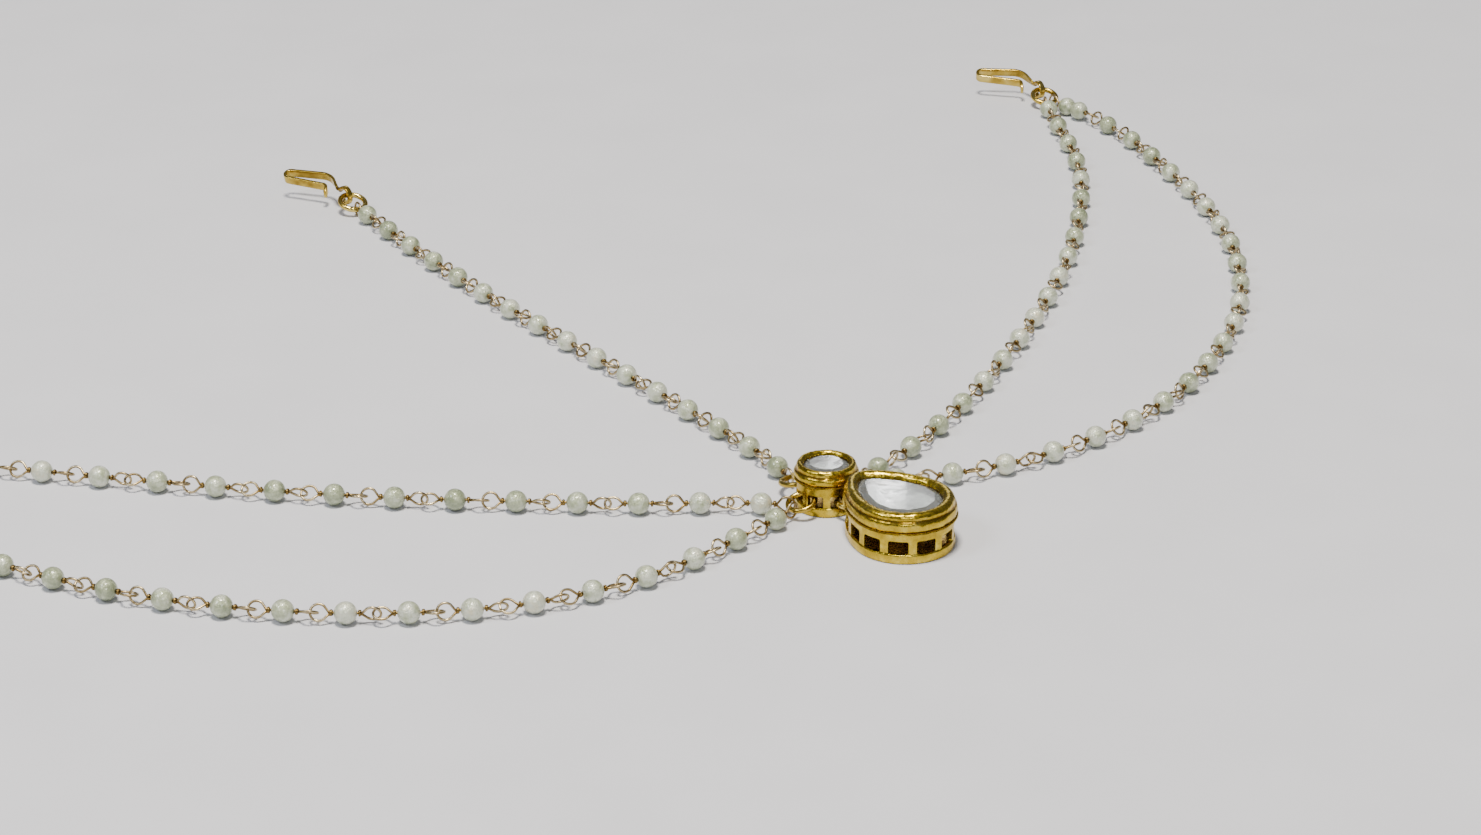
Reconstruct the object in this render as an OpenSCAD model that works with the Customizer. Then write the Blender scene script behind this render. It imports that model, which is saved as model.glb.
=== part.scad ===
// Matha patti: a round and a pear-shaped stone setting with five chains of pearls on linked
// eye pins, laid out flat. The origin is on the surface under the middle of the round setting.

/* [Pearls] */
// Diameter of a pearl
pearl_d = 3; // [2.8:0.1:3.4]
// Diameter of the hole drilled through a pearl
pearl_hole_d = 0.6; // [0.5:0.05:0.8]

/* [Eye pins] */
// Thickness of the pin wire
pin_wire_d = 0.35; // [0.3:0.05:0.4]
// Length of the wrapped collar on each side of a pearl
collar_len = 0.35; // [0.3:0.05:0.6]
// Diameter of the wrapped collar
collar_d = 0.9; // [0.8:0.05:1.1]
// Width of a teardrop eye, outside
eye_w = 2.5; // [2.2:0.05:2.6]
// Length of a teardrop eye, from its collar to its round end
eye_len = 2.75; // [2.6:0.05:3]
// Clear gap between the wires of two linked eyes when the chain is taut
eye_gap = 0.15; // [0.12:0.01:0.25]

/* [Rings] */
// Outside diameter of the ring at the left of the round setting
ring_d = 4.4; // [4.2:0.1:5]
// Outside diameter of the two rings at the back of the round setting
back_ring_d = 5.4; // [5:0.1:5.6]
// Wire thickness of the rings at the round setting
ring_wire_d = 0.75; // [0.6:0.05:0.8]
// Outside diameter of the rings at the hooks
hook_ring_d = 4.8; // [4.4:0.1:5.4]
// Wire thickness of the rings at the hooks
hook_ring_wire_d = 0.85; // [0.7:0.05:0.9]

/* [Hooks] */
// Width of the flat strip that a hook is bent from
strip_w = 1.4; // [1.1:0.05:1.5]
// Thickness of the strip
strip_t = 0.45; // [0.35:0.05:0.5]
// Width of the strip where it is narrowed for the eye
eye_strip_w = 0.9; // [0.7:0.05:1]
// Straight length of the neck between the eye and the curve of the back arm
hook_neck_len = 2; // [1.5:0.1:2.4]
// Straight length of the back arm
hook_back_len = 5; // [4.6:0.2:8]
// Clear gap between the two arms at the bend
hook_gap = 1.3; // [1:0.1:1.6]
// Straight length of the free front arm
hook_front_len = 6.2; // [5:0.2:6.6]
// Straight length of the turned-out tip
hook_tip_len = 1.2; // [0.6:0.1:1.4]
// Outside diameter of the eye of a hook
hook_eye_d = 3; // [2.9:0.05:3.3]

/* [Round setting] */
// Diameter of the gallery wall
round_d = 8; // [7.6:0.1:9]
// Height of the rounded bead under the rim
round_bead_h = 0.95; // [0.8:0.05:1.2]
// Height of the rim above the bead
round_rim_h = 0.95; // [0.8:0.05:1.2]
// Width of the rim, from the gallery wall in to the opening
round_rim_w = 1; // [0.9:0.05:1.2]
// Height of the gallery windows
round_window_h = 1.65; // [1.6:0.05:1.8]
// Width of the posts between the gallery windows
round_post_w = 0.9; // [0.7:0.05:1]

/* [Pear setting] */
// Radius of the broad end of the gallery wall
pear_r = 6.6; // [6.2:0.1:7.5]
// Radius of the narrow end of the gallery wall
pear_tip_r = 2.8; // [2.6:0.1:3.2]
// Distance between the centres of the two ends
pear_stretch = 6.9; // [6:0.1:8]
// Radius of the two long sides
pear_side_r = 13.5; // [12:0.5:18]
// Height of the rounded bead under the rim
pear_bead_h = 1.3; // [1.1:0.05:1.5]
// Height of the rim above the bead
pear_rim_h = 1.1; // [1:0.05:1.3]
// Width of the rim, from the gallery wall in to the opening
pear_rim_w = 1.65; // [1.4:0.05:1.7]
// Height of the gallery windows
pear_window_h = 1.85; // [1.7:0.05:2]
// Width of the posts between the gallery windows
pear_post_w = 1.1; // [0.9:0.05:1.2]
// Number of gallery windows, even so that the tip has a post
pear_windows = 12; // [10:2:14]

/* [Both settings] */
// Thickness of the gallery wall
wall_t = 0.55; // [0.5:0.05:0.65]
// Height of the base rail under the windows
rail_h = 1.3; // [1.2:0.05:1.4]
// Height of the gallery from the surface to the flange
gallery_h = 4.2; // [4:0.1:4.6]
// How far the thin flange stands out from the gallery wall
flange_out = 0.5; // [0.3:0.05:0.6]
// Thickness of the flange
flange_t = 0.25; // [0.2:0.05:0.35]
// How far the bead stands out from the gallery wall
bead_out = 0.4; // [0.3:0.05:0.45]
// Thickness of the floor under a stone
floor_t = 0.5; // [0.4:0.05:0.6]
// Thickness of the back plate that closes the gallery
plate_t = 0.4; // [0.3:0.05:0.5]
// Height of the back plate above the surface
plate_up = 0.3; // [0.2:0.05:0.5]
// Height of a stone's crown, from its edge to its table
crown_h = 0.45; // [0.3:0.05:0.5]
// Gap between the flanges of the two settings
setting_gap = 0.4; // [0.3:0.05:0.8]

/* [Hidden] */
$fn = 24;

GOLD = "#B8963A";
PALE_GOLD = "#CDB25A";
PEARL = "#C6CCBD";
STONE = "#DDE2E4";

// A small clear gap between pieces that are not soldered
fit = 0.05;
// A loose gap between a ring and what it passes round
loose = 0.12;

// Directions of the four joints round the round setting
left_turn = 225;
centre_turn = 135;
right_turn = 45;
pendant_turn = -49;
// Windows round the round setting, so that each joint has a post
round_windows = 8;
// The pear points back to the round setting in this direction
pear_turn = 131;
// How much the rings at the round setting slope
ring_tilt = 18;
back_ring_tilt = 14;
// The ring through the two galleries lies level at the middle of the windows
window_mid = rail_h + round_window_h/2;

// Chosen routes of the chains between their rings, in round numbers
LEFT_UPPER_ROUTE = [[-9.5, -2.3], [-24.5, -2.8], [-41, -2], [-57, -0.9], [-73, 1.2], [-89.5, 4.2],
    [-105.5, 7.5], [-121, 11], [-135, 15]];
LEFT_LOWER_ROUTE = [[-11.7, -13.3], [-21.9, -23.6], [-35, -31.2], [-49.5, -34.6], [-66, -34.6],
    [-82.3, -31.6], [-96.2, -26.3], [-109, -19.5], [-124, -9.5], [-137, 3.5]];
CENTRE_ROUTE = [[-9.6, 14.7], [-22.6, 33.4], [-36, 51.8], [-48.8, 69.6], [-61.3, 89]];
RIGHT_INNER_ROUTE = [[12.5, 16.3], [20.2, 31.3], [26.8, 47.3], [32.6, 63.8], [37.2, 80], [40.4, 95.6],
    [42.3, 110.2], [43, 119], [42.8, 127.5], [42.2, 135.3], [41, 143]];
RIGHT_OUTER_ROUTE = [[16.6, 6.3], [23.3, 9.3], [30.1, 12.9], [41.7, 23], [51.1, 35.7], [57.5, 49.5],
    [62, 64], [63.8, 80], [63.4, 95.6], [60.6, 111], [56, 126.5], [50.3, 142.5]];
// The centres of the hook rings, in the same round numbers
LEFT_HOOK_SPOT = [-149.5, 20.5];
CENTRE_HOOK_SPOT = [-72.2, 107.7];
RIGHT_HOOK_SPOT = [39.7, 157.3];
// Where each chain leaves the ring at the round setting and reaches the ring at its hook,
// as turns about those rings
LEFT_UPPER_ENDS = [168, -15];
LEFT_LOWER_ENDS = [231, -52];
CENTRE_ENDS = [118, -62];
RIGHT_INNER_ENDS = [56, -95];
RIGHT_OUTER_ENDS = [16, -42];
// How slack each chain lies, as a share of its taut pitch
LEFT_UPPER_SLACK = 0;
LEFT_LOWER_SLACK = 0.03;
CENTRE_SLACK = 0.06;
RIGHT_INNER_SLACK = 0;
RIGHT_OUTER_SLACK = 0.03;
// Where each chain's rolls begin, so that no two chains twist alike
LEFT_UPPER_ROLL = 0;
LEFT_LOWER_ROLL = 50;
CENTRE_ROLL = 130;
RIGHT_INNER_ROLL = 150;
RIGHT_OUTER_ROLL = 200;
// Pearls on the last pin of the outer right chain
outer_last_pearls = 2;

function turned(r, a) = [r*cos(a), r*sin(a)];

// Settings
// Height of the flange's top, and of the groove above it
flange_top = gallery_h + flange_t;
groove = 0.15;
// Heights of a setting of bead height b and rim height r
function rim_foot(b) = flange_top + groove + b;
function setting_h(b, r) = rim_foot(b) + r;
function lip_foot(b) = rim_foot(b) + groove;
function floor_top(b) = lip_foot(b) - fit - stone_edge_h;
// Height of a stone's edge under the rim
stone_edge_h = 0.9;
// Sides of the pear-shaped floor and back plate
floor_sides = 36;

// Outline of a setting's wall from inside to outside, as [distance out from the wall, height]
function wall_outline(bead_h, rim_h, rim_w) = let (
        bead_mid = flange_top + groove/2 + bead_h/2,
        rim_z = lip_foot(bead_h) + rim_side,
        top = setting_h(bead_h, rim_h),
        rim_out = fit,
        rim_mid = (rim_out - rim_w)/2,
        rim_half = (rim_out + rim_w)/2)
    concat(
        [[-wall_t, 0], [-rail_round, 0], [rail_out, rail_round], [rail_out, rail_h - rail_round],
            [0, rail_h], [0, gallery_h], [flange_out, gallery_h + flange_t/3],
            [flange_out, flange_top], [groove/2, flange_top + groove/2]],
        [for (a = [-60:20:60])
            [groove/2 + (bead_out - groove/2)*cos(a), bead_mid + bead_h/2*sin(a)/sin(60)]],
        [[rim_out*0.4, rim_foot(bead_h) + groove/2]],
        [for (a = [0:15:180]) [rim_mid + rim_half*cos(a), rim_z + (top - rim_z)*sin(a)]],
        [[-rim_w, lip_foot(bead_h)], [-wall_t, lip_foot(bead_h)]]);
// The base rail's small bevel, and how far it stands out from the wall
rail_round = 0.2;
rail_out = 0.15;
// Height of the rim's straight side under its rounded top
rim_side = 0.2;

// A pear outline of four arcs, turned by the direction of its outward normal
// The tip points along +X and the broad end's centre is the origin
side_a = pear_side_r - pear_r;
side_b = pear_side_r - pear_tip_r;
side_turn = acos((pear_stretch*pear_stretch + side_a*side_a - side_b*side_b)/(2*pear_stretch*side_a));
side_centre = turned(side_a, -side_turn);
broad_end = 180 - side_turn;
tip_end = atan2(-side_centre.y, pear_stretch - side_centre.x);
// Arcs as [centre, radius, first normal, last normal]
PEAR_ARCS = [
    [[pear_stretch, 0], pear_tip_r, -tip_end, tip_end],
    [side_centre, pear_side_r, tip_end, broad_end],
    [[0, 0], pear_r, broad_end, 360 - broad_end],
    [[side_centre.x, -side_centre.y], pear_side_r, 360 - broad_end, 360 - tip_end]];
function arc_len(arc) = arc[1]*(arc[3] - arc[2])*PI/180;
PEAR_STARTS = [0, for (i = 0, s = arc_len(PEAR_ARCS[0]); i < 4; i = i + 1,
    s = s + (i < 4 ? arc_len(PEAR_ARCS[i]) : 0)) s];
pear_round = PEAR_STARTS[4];
// Distance along the outline from the tip's first normal against the normal there
PEAR_TURNS = [for (i = [0:4]) [PEAR_STARTS[i], i < 4 ? PEAR_ARCS[i][2] : 360 - tip_end]];
tip_s = arc_len(PEAR_ARCS[0])/2;
function pear_normal(s) = lookup((s + tip_s + pear_round) % pear_round, PEAR_TURNS);
function pear_arc(n) = n < tip_end ? PEAR_ARCS[0] : n < broad_end ? PEAR_ARCS[1] :
    n < 360 - broad_end ? PEAR_ARCS[2] : PEAR_ARCS[3];
function pear_point(n, out) = pear_arc(n)[0] + turned(pear_arc(n)[1] + out, n);
function pear_ring(count, out) = [for (i = [0:count - 1]) pear_point(pear_normal(i*pear_round/count), out)];
function circle_ring(count, r) = [for (i = [0:count - 1]) turned(r, (i + 0.5)*360/count)];

round_r = round_d/2;
// The pear's narrow end comes as near to the round setting as the flanges let it
pear_tip_at = turned(round_r + 2*flange_out + setting_gap + pear_tip_r, pendant_turn);
pear_at = pear_tip_at - turned(pear_stretch, pear_turn);

module in_pear_place() translate([pear_at.x, pear_at.y, 0]) rotate(pear_turn) children();

module wall_section(r, bead_h, rim_h, rim_w)
    translate([r, 0]) polygon(wall_outline(bead_h, rim_h, rim_w));

module window(r, w, h)
    translate([r - wall_t*2, -w/2, rail_h]) cube([wall_t*3, w, h]);

module round_setting() color(GOLD) {
    window_w = 2*round_r*sin(180/round_windows) - round_post_w;
    difference() {
        union() {
            rotate_extrude() wall_section(round_r, round_bead_h, round_rim_h, round_rim_w);
            translate([0, 0, floor_top(round_bead_h) - floor_t])
                cylinder(r = round_r - wall_t/2, h = floor_t);
            translate([0, 0, plate_up])
                cylinder(r = round_r - wall_t/2, h = plate_t);
        }
        for (i = [0:round_windows - 1])
            rotate(270 + (i + 0.5)*360/round_windows) window(round_r, window_w, round_window_h);
    }
}

module pendant_setting() color(GOLD) in_pear_place() {
    window_w = pear_round/pear_windows - pear_post_w;
    difference() {
        union() {
            for (arc = PEAR_ARCS)
                translate([arc[0].x, arc[0].y, 0]) rotate(arc[2])
                    rotate_extrude(angle = arc[3] - arc[2])
                        wall_section(arc[1], pear_bead_h, pear_rim_h, pear_rim_w);
            translate([0, 0, floor_top(pear_bead_h) - floor_t])
                linear_extrude(floor_t) polygon(pear_ring(floor_sides, -wall_t/2));
            translate([0, 0, plate_up])
                linear_extrude(plate_t) polygon(pear_ring(floor_sides, -wall_t/2));
        }
        for (i = [0:pear_windows - 1]) {
            n = pear_normal((i + 0.5)*pear_round/pear_windows);
            translate([pear_arc(n)[0].x, pear_arc(n)[0].y, 0]) rotate(n)
                window(pear_arc(n)[1], window_w, pear_window_h);
        }
    }
}

// How far a stone's table lies in from the rim's edge
round_bevel = 0.75;
pear_bevel = 0.85;
// Sides of a stone's edge, with half as many round its table
stone_sides = 24;
// A flat-cut stone: an edge that the rim holds, a crown of facets and a flat table
// Each ring is a list of points, and the crown's ring has half as many
module cut_stone(edge, crown, table, foot) {
    n = len(edge);
    m = len(table);
    top = foot + stone_edge_h - fit;
    rise = top + crown_h + groove;
    points = concat(
        [for (p = edge) [p.x, p.y, foot]],
        [for (p = edge) [p.x, p.y, top]],
        [for (p = crown) [p.x, p.y, top]],
        [for (p = crown) [p.x, p.y, top + groove + fit*2]],
        [for (p = table) [p.x, p.y, rise]]);
    faces = concat(
        [[for (i = [0:n - 1]) i]],
        [for (k = [0:2]) each [for (i = [0:n - 1]) let (j = (i + 1) % n)
            each [[k*n + i, k*n + n + i, k*n + j], [k*n + j, k*n + n + i, k*n + n + j]]]],
        [for (i = [0:m - 1]) let (j = (i + 1) % m, a = 3*n + 2*i, b = a + 1, c = 3*n + (2*i + 2) % n)
            each [[a, 4*n + i, b], [b, 4*n + i, 4*n + j], [b, 4*n + j, c]]],
        [[for (i = [m - 1:-1:0]) 4*n + i]]);
    polyhedron(points, faces);
}

module round_stone() color(STONE)
    cut_stone(circle_ring(stone_sides, round_r - wall_t - fit),
        circle_ring(stone_sides, round_r - round_rim_w - fit*2),
        circle_ring(stone_sides/2, round_r - round_rim_w - round_bevel),
        floor_top(round_bead_h) + fit);

module pendant_stone() color(STONE) in_pear_place()
    cut_stone(pear_ring(stone_sides, -wall_t - fit),
        pear_ring(stone_sides, -pear_rim_w - fit*2),
        pear_ring(stone_sides/2, -pear_rim_w - pear_bevel),
        floor_top(pear_bead_h) + fit);

// Rings
module ring(outside_d, wire_d)
    rotate_extrude() translate([(outside_d - wire_d)/2, 0]) circle(d = wire_d);

// A ring round a post of the round setting, as [centre x, y, z] for its direction and size
function mid_r(outside_d, wire_d) = (outside_d - wire_d)/2;
inner_reach = round_r - wall_t - loose - ring_wire_d/2;
function post_ring_at(turn, outside_d, tilt) = let (r = mid_r(outside_d, ring_wire_d))
    [each turned(inner_reach + r*cos(tilt), turn), pin_z + r*sin(tilt) - ring_drop];
pin_z = pearl_d/2;
// The rings hang a little under the pins that lie on them
ring_drop = 0.06;
hook_ring_drop = 0.35;

module post_ring(turn, outside_d, tilt) color(GOLD)
    translate(post_ring_at(turn, outside_d, tilt)) rotate([0, 0, turn]) rotate([0, tilt, 0])
        ring(outside_d, ring_wire_d);

module left_ring() post_ring(left_turn, ring_d, ring_tilt);
module centre_ring() post_ring(centre_turn, back_ring_d, back_ring_tilt);
module right_ring() post_ring(right_turn, back_ring_d, back_ring_tilt);

// The ring between the settings goes round one post of each, that of the round setting here
tip_side = -45;
module pendant_ring() color(GOLD) {
    tip_inside = norm(pear_tip_at) - pear_tip_r + wall_t;
    middle = (round_r - wall_t + tip_inside)/2;
    translate([each turned(middle, (pendant_turn + tip_side)/2), window_mid])
        ring(tip_inside - round_r + wall_t + 2*(2*loose + ring_wire_d), ring_wire_d);
}

// Hook rings lie with the hook's side higher
hook_ring_tilt = 18;
hook_ring_r = mid_r(hook_ring_d, hook_ring_wire_d);
hook_ring_z = pin_z + hook_ring_r*sin(hook_ring_tilt) - hook_ring_drop;

module hook_ring(spot, turn) color(GOLD)
    translate([each spot, hook_ring_z]) rotate([0, 0, turn]) rotate([0, -hook_ring_tilt, 0])
        ring(hook_ring_d, hook_ring_wire_d);

// Directions from each hook ring to its hook's eye, and along each hook
left_eye_turn = 160;
centre_eye_turn = 130;
right_eye_turn = 116;
left_hook_turn = 178;
centre_hook_turn = 165;
right_hook_turn = 176;

module left_hook_ring() hook_ring(LEFT_HOOK_SPOT, left_eye_turn);
module centre_hook_ring() hook_ring(CENTRE_HOOK_SPOT, centre_eye_turn);
module right_hook_ring() hook_ring(RIGHT_HOOK_SPOT, right_eye_turn);

// Hooks, each one flat strip bent into an eye, a neck, a back arm, a front arm and a turned-out tip
hook_eye_r = mid_r(hook_eye_d, strip_t);
// The eye's two ends, as turns in its upright plane: below the neck, and over it
eye_cut = -20;
eye_close = 55;
// Where the neck starts beyond the eye's strip, and how high
neck_out = 0.6;
neck_up = 0.5;
elbow_turn = 52;
elbow_r = 3;
// The arms stand apart more at the open end, each hook by its own spread
left_hook_spread = 9;
centre_hook_spread = 7;
right_hook_spread = 9;
arm_bend_r = (hook_gap + strip_t)/2;
tip_turn = 75;
tip_bend_r = 0.8;
// Each hook lies rolled a little about its back arm, with the front arm lower
left_hook_roll = 16;
centre_hook_roll = 20;
right_hook_roll = 20;
// How round the strip's edges are, and the points of its section about each corner
edge_r = 0.12;
CORNERS = [[1, 1, 0], [-1, 1, 90], [-1, -1, 180], [1, -1, 270]];
CORNER_TURNS = [0, 45, 90];

function unit(v) = v/norm(v);
function arc_steps(centre, r, from, to, count) =
    [for (i = [0:count]) centre + turned(r, from + (to - from)*i/count)];
// Points between two ends, leaving and arriving along two directions with this ease
bridge_ease = 0.4;
function bridge(a, leave, b, arrive) = let (
        h = bridge_ease*norm(b - a), c = a + leave*h, d = b - arrive*h)
    [for (t = [0.2:0.2:0.8]) a*pow(1 - t, 3) + c*3*t*pow(1 - t, 2) + d*3*t*t*(1 - t) + b*t*t*t];

// The arms in their own plane, from the neck's start with the back arm along +X
function arms(spread) = let (
        neck_end = turned(hook_neck_len, -elbow_turn),
        elbow_mid = neck_end + turned(elbow_r, 90 - elbow_turn),
        back_end = elbow_mid + [hook_back_len, -elbow_r],
        bend_mid = back_end + [0, arm_bend_r],
        front_turn = 180 - spread,
        front_start = bend_mid + turned(arm_bend_r, front_turn - 90),
        front_end = front_start + turned(hook_front_len, front_turn),
        tip_mid = front_end + turned(tip_bend_r, front_turn - 90),
        tip_start = tip_mid + turned(tip_bend_r, front_turn + 90 - tip_turn))
    concat(arc_steps(elbow_mid, elbow_r, -90 - elbow_turn, -90, 5),
        arc_steps(bend_mid, arm_bend_r, -90, front_turn - 90, 9),
        arc_steps(tip_mid, tip_bend_r, front_turn + 90, front_turn + 90 - tip_turn, 4),
        [tip_start + turned(hook_tip_len, front_turn - tip_turn)]);

// The whole strip about the middle of the eye, as [point, share of the strip's turn and width]
// The eye lies in the XZ plane, and the arms are turned and rolled away from it
function hook_line(turn, roll, spread) = let (
        along = [cos(turn), sin(turn), 0],
        across = [-sin(turn)*cos(roll), cos(turn)*cos(roll), -sin(roll)],
        eye = [for (p = arc_steps([0, 0], hook_eye_r, eye_cut, eye_close - 360, 12)) [p.x, 0, p.y]],
        start = [hook_eye_r + neck_out, 0, neck_up],
        eye_end = eye[len(eye) - 1],
        neck = unit(along*cos(elbow_turn) - across*sin(elbow_turn)),
        link = concat(bridge(eye_end, [sin(eye_close), 0, -cos(eye_close)], start, neck),
            [start, start + neck*hook_neck_len/2]))
    concat([for (p = eye) [p, 0]],
        [for (i = [0:len(link) - 1]) [link[i], (i + 1)/(len(link) + 1)]],
        [for (p = arms(spread)) [start + along*p.x + across*p.y, 1]]);

// Directions of the line at each point
function line_directions(p) = let (last = len(p) - 1)
    [for (i = [0:last]) unit(unit(p[min(i + 1, last)] - p[min(i, last - 1)])
        + unit(p[max(i, 1)] - p[max(i - 1, 0)]))];

// Flat strip along a line, its width turning from the first direction to the last
module strip(line, first_wide, last_wide) {
    at = [for (p = line) p[0]];
    t = line_directions(at);
    section = [for (c = CORNERS) each [for (a = CORNER_TURNS) [c, edge_r*[cos(c[2] + a), sin(c[2] + a)]]]];
    n = len(section);
    points = [for (i = [0:len(at) - 1]) let (
            share = line[i][1],
            mixed = first_wide*(1 - share) + last_wide*share,
            wide = unit(mixed - t[i]*(mixed*t[i])),
            thick = cross(wide, t[i]),
            half_w = (eye_strip_w + (strip_w - eye_strip_w)*share)/2 - edge_r,
            half_t = strip_t/2 - edge_r)
        each [for (s = section) at[i] + thick*(s[0][0]*half_t + s[1].x) + wide*(s[0][1]*half_w + s[1].y)]];
    faces = concat(
        [[for (i = [0:n - 1]) i]],
        [for (k = [0:len(at) - 2]) each [for (i = [0:n - 1]) let (j = (i + 1) % n)
            each [[k*n + i, k*n + n + i, k*n + j], [k*n + j, k*n + n + i, k*n + n + j]]]],
        [[for (i = [n - 1:-1:0]) (len(at) - 1)*n + i]]);
    polyhedron(points, faces);
}

module hook(spot, eye_turn, hook_turn, roll, spread) color(PALE_GOLD) {
    side = spot + turned(hook_ring_r*cos(hook_ring_tilt) + loose, eye_turn);
    turn = hook_turn - eye_turn;
    last_wide = [-sin(turn)*sin(roll), cos(turn)*sin(roll), cos(roll)];
    translate([each side, hook_ring_z + hook_ring_r*sin(hook_ring_tilt)]) rotate(eye_turn)
        strip(hook_line(turn, roll, spread), [0, 1, 0], last_wide);
}

module left_hook() hook(LEFT_HOOK_SPOT, left_eye_turn, left_hook_turn, left_hook_roll,
    left_hook_spread);
module centre_hook() hook(CENTRE_HOOK_SPOT, centre_eye_turn, centre_hook_turn, centre_hook_roll,
    centre_hook_spread);
module right_hook() hook(RIGHT_HOOK_SPOT, right_eye_turn, right_hook_turn, right_hook_roll,
    right_hook_spread);

// Chains
// Spacing of two pearls on one pin
pearl_step = pearl_d + 0.1;
eye_r = mid_r(eye_w, pin_wire_d);
pin_half = pearl_d/2 + fit + collar_len + eye_len;
// Spacing of the pins when the chain is taut
taut_pitch = 2*pin_half - 2*pin_wire_d - eye_gap;

// One eye in the XY plane on the +X side, with its apex inside the collar's end
module pin_eye() {
    collar_end = pearl_d/2 + fit + collar_len;
    middle = pin_half - pin_wire_d/2 - eye_r;
    apex = middle - collar_end + pin_wire_d/2;
    spread = acos(eye_r/apex);
    translate([middle, 0, 0]) {
        rotate(180 + spread) rotate_extrude(angle = 360 - 2*spread)
            translate([eye_r, 0]) circle(d = pin_wire_d);
        for (side = [-1, 1])
            rotate(180 + side*spread) translate([eye_r, 0, 0]) rotate([side*90, 0, 0])
                cylinder(d = pin_wire_d, h = sqrt(apex*apex - eye_r*eye_r));
    }
}

// A pin for one pearl, or for more that sit together, with each eye turned by its own roll
module eye_pin(pearls, near_roll, far_roll) {
    extra = (pearls - 1)*pearl_step/2;
    reach = pearl_d/2 + fit + extra;
    rotate([0, 90, 0]) cylinder(d = pin_wire_d, h = 2*(reach + collar_len), center = true);
    for (side = [0, 1]) rotate(180*side) {
        translate([reach, 0, 0]) rotate([0, 90, 0]) cylinder(d = collar_d, h = collar_len);
        translate([extra, 0, 0]) rotate([side == 1 ? -near_roll : far_roll, 0, 0]) pin_eye();
    }
}

module drilled_pearls(pearls)
    for (i = [0:pearls - 1])
        translate([(i - (pearls - 1)/2)*pearl_step, 0, 0]) rotate([0, 90, 0]) rotate_extrude()
            intersection() {
                circle(d = pearl_d);
                translate([pearl_hole_d/2, -pearl_d/2]) square(pearl_d);
            }

// A smooth line through the chosen points, in small straight steps
smooth_steps = 8;
function smooth_at(p, i, t) = let (
        last = len(p) - 1,
        a = p[max(i - 1, 0)], b = p[i], c = p[i + 1], d = p[min(i + 2, last)])
    0.5*((2*b) + (c - a)*t + (2*a - 5*b + 4*c - d)*t*t + (3*b - a - 3*c + d)*t*t*t);
function smooth(p) = [
    for (i = [0:len(p) - 2]) for (k = [0:smooth_steps - 1]) smooth_at(p, i, k/smooth_steps),
    p[len(p) - 1]];
function run_lengths(p) = [for (i = 0, s = 0; i < len(p);
    s = s + (i + 1 < len(p) ? norm(p[i + 1] - p[i]) : 0), i = i + 1) s];

// Where a chain's line meets a tilted ring: the last eye's wire lies just inside the ring's wire
function line_end(ring_at, r, tilt, wire_d, turn, slack) =
    [ring_at.x, ring_at.y] + turned(r*cos(tilt) - wire_d/2 - loose + eye_gap/2 + slack*taut_pitch/2, turn);

function chain_line(start_ring, start_r, start_tilt, route, spot, ends, slack) = smooth(concat(
    [line_end(start_ring, start_r, start_tilt, ring_wire_d, ends[0], slack)], route,
    [line_end(spot, hook_ring_r, hook_ring_tilt, hook_ring_wire_d, ends[1], slack)]));

// Each joint has its own roll about this one, and the two eyes in it are square to each other
mean_roll = 45;
roll_swing = 28;
roll_step = 137;
function joint_roll(j, seed) = mean_roll + roll_swing*sin(roll_step*j + seed);

// The last pins dip toward their rings, and the pins before them lean back a little
end_dip = 4;
lean_back = -2;
function pin_dip(j, count) = j == 0 ? 0 : j == count - 1 ? end_dip : j == count - 2 ? lean_back : 0;

module along_chain(line, last_pearls, slack, seed) {
    lengths = run_lengths(line);
    xs = [for (i = [0:len(line) - 1]) [lengths[i], line[i].x]];
    ys = [for (i = [0:len(line) - 1]) [lengths[i], line[i].y]];
    total = lengths[len(lengths) - 1];
    last_extra = (last_pearls - 1)*pearl_step;
    count = ceil((total - last_extra)/(taut_pitch*(1 - slack)));
    pitch = (total - last_extra)/count;
    for (j = [0:count - 1]) {
        $pearls = j == count - 1 ? last_pearls : 1;
        s0 = j*pitch;
        s1 = j == count - 1 ? total : s0 + pitch;
        p0 = [lookup(s0, xs), lookup(s0, ys)];
        p1 = [lookup(s1, xs), lookup(s1, ys)];
        $near_roll = j == 0 ? 90 : joint_roll(j, seed);
        $far_roll = j == count - 1 ? 90 : joint_roll(j + 1, seed) + 90;
        dip = pin_dip(j, count)*2/($pearls + 1);
        lift = ($pearls - 1)*pearl_step/2*sin(abs(dip));
        translate([each (p0 + p1)/2, pin_z + lift]) rotate([0, dip, atan2(p1.y - p0.y, p1.x - p0.x)])
            children();
    }
}

module pins(line, last_pearls, slack, seed) color(GOLD)
    along_chain(line, last_pearls, slack, seed) eye_pin($pearls, $near_roll, $far_roll);
module pearls(line, last_pearls, slack, seed) color(PEARL)
    along_chain(line, last_pearls, slack, seed) drilled_pearls($pearls);

left_line_start = post_ring_at(left_turn, ring_d, ring_tilt);
centre_line_start = post_ring_at(centre_turn, back_ring_d, back_ring_tilt);
right_line_start = post_ring_at(right_turn, back_ring_d, back_ring_tilt);
ring_r = mid_r(ring_d, ring_wire_d);
back_ring_r = mid_r(back_ring_d, ring_wire_d);
LEFT_UPPER = chain_line(left_line_start, ring_r, ring_tilt, LEFT_UPPER_ROUTE, LEFT_HOOK_SPOT,
    LEFT_UPPER_ENDS, LEFT_UPPER_SLACK);
LEFT_LOWER = chain_line(left_line_start, ring_r, ring_tilt, LEFT_LOWER_ROUTE, LEFT_HOOK_SPOT,
    LEFT_LOWER_ENDS, LEFT_LOWER_SLACK);
CENTRE = chain_line(centre_line_start, back_ring_r, back_ring_tilt, CENTRE_ROUTE, CENTRE_HOOK_SPOT,
    CENTRE_ENDS, CENTRE_SLACK);
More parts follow.
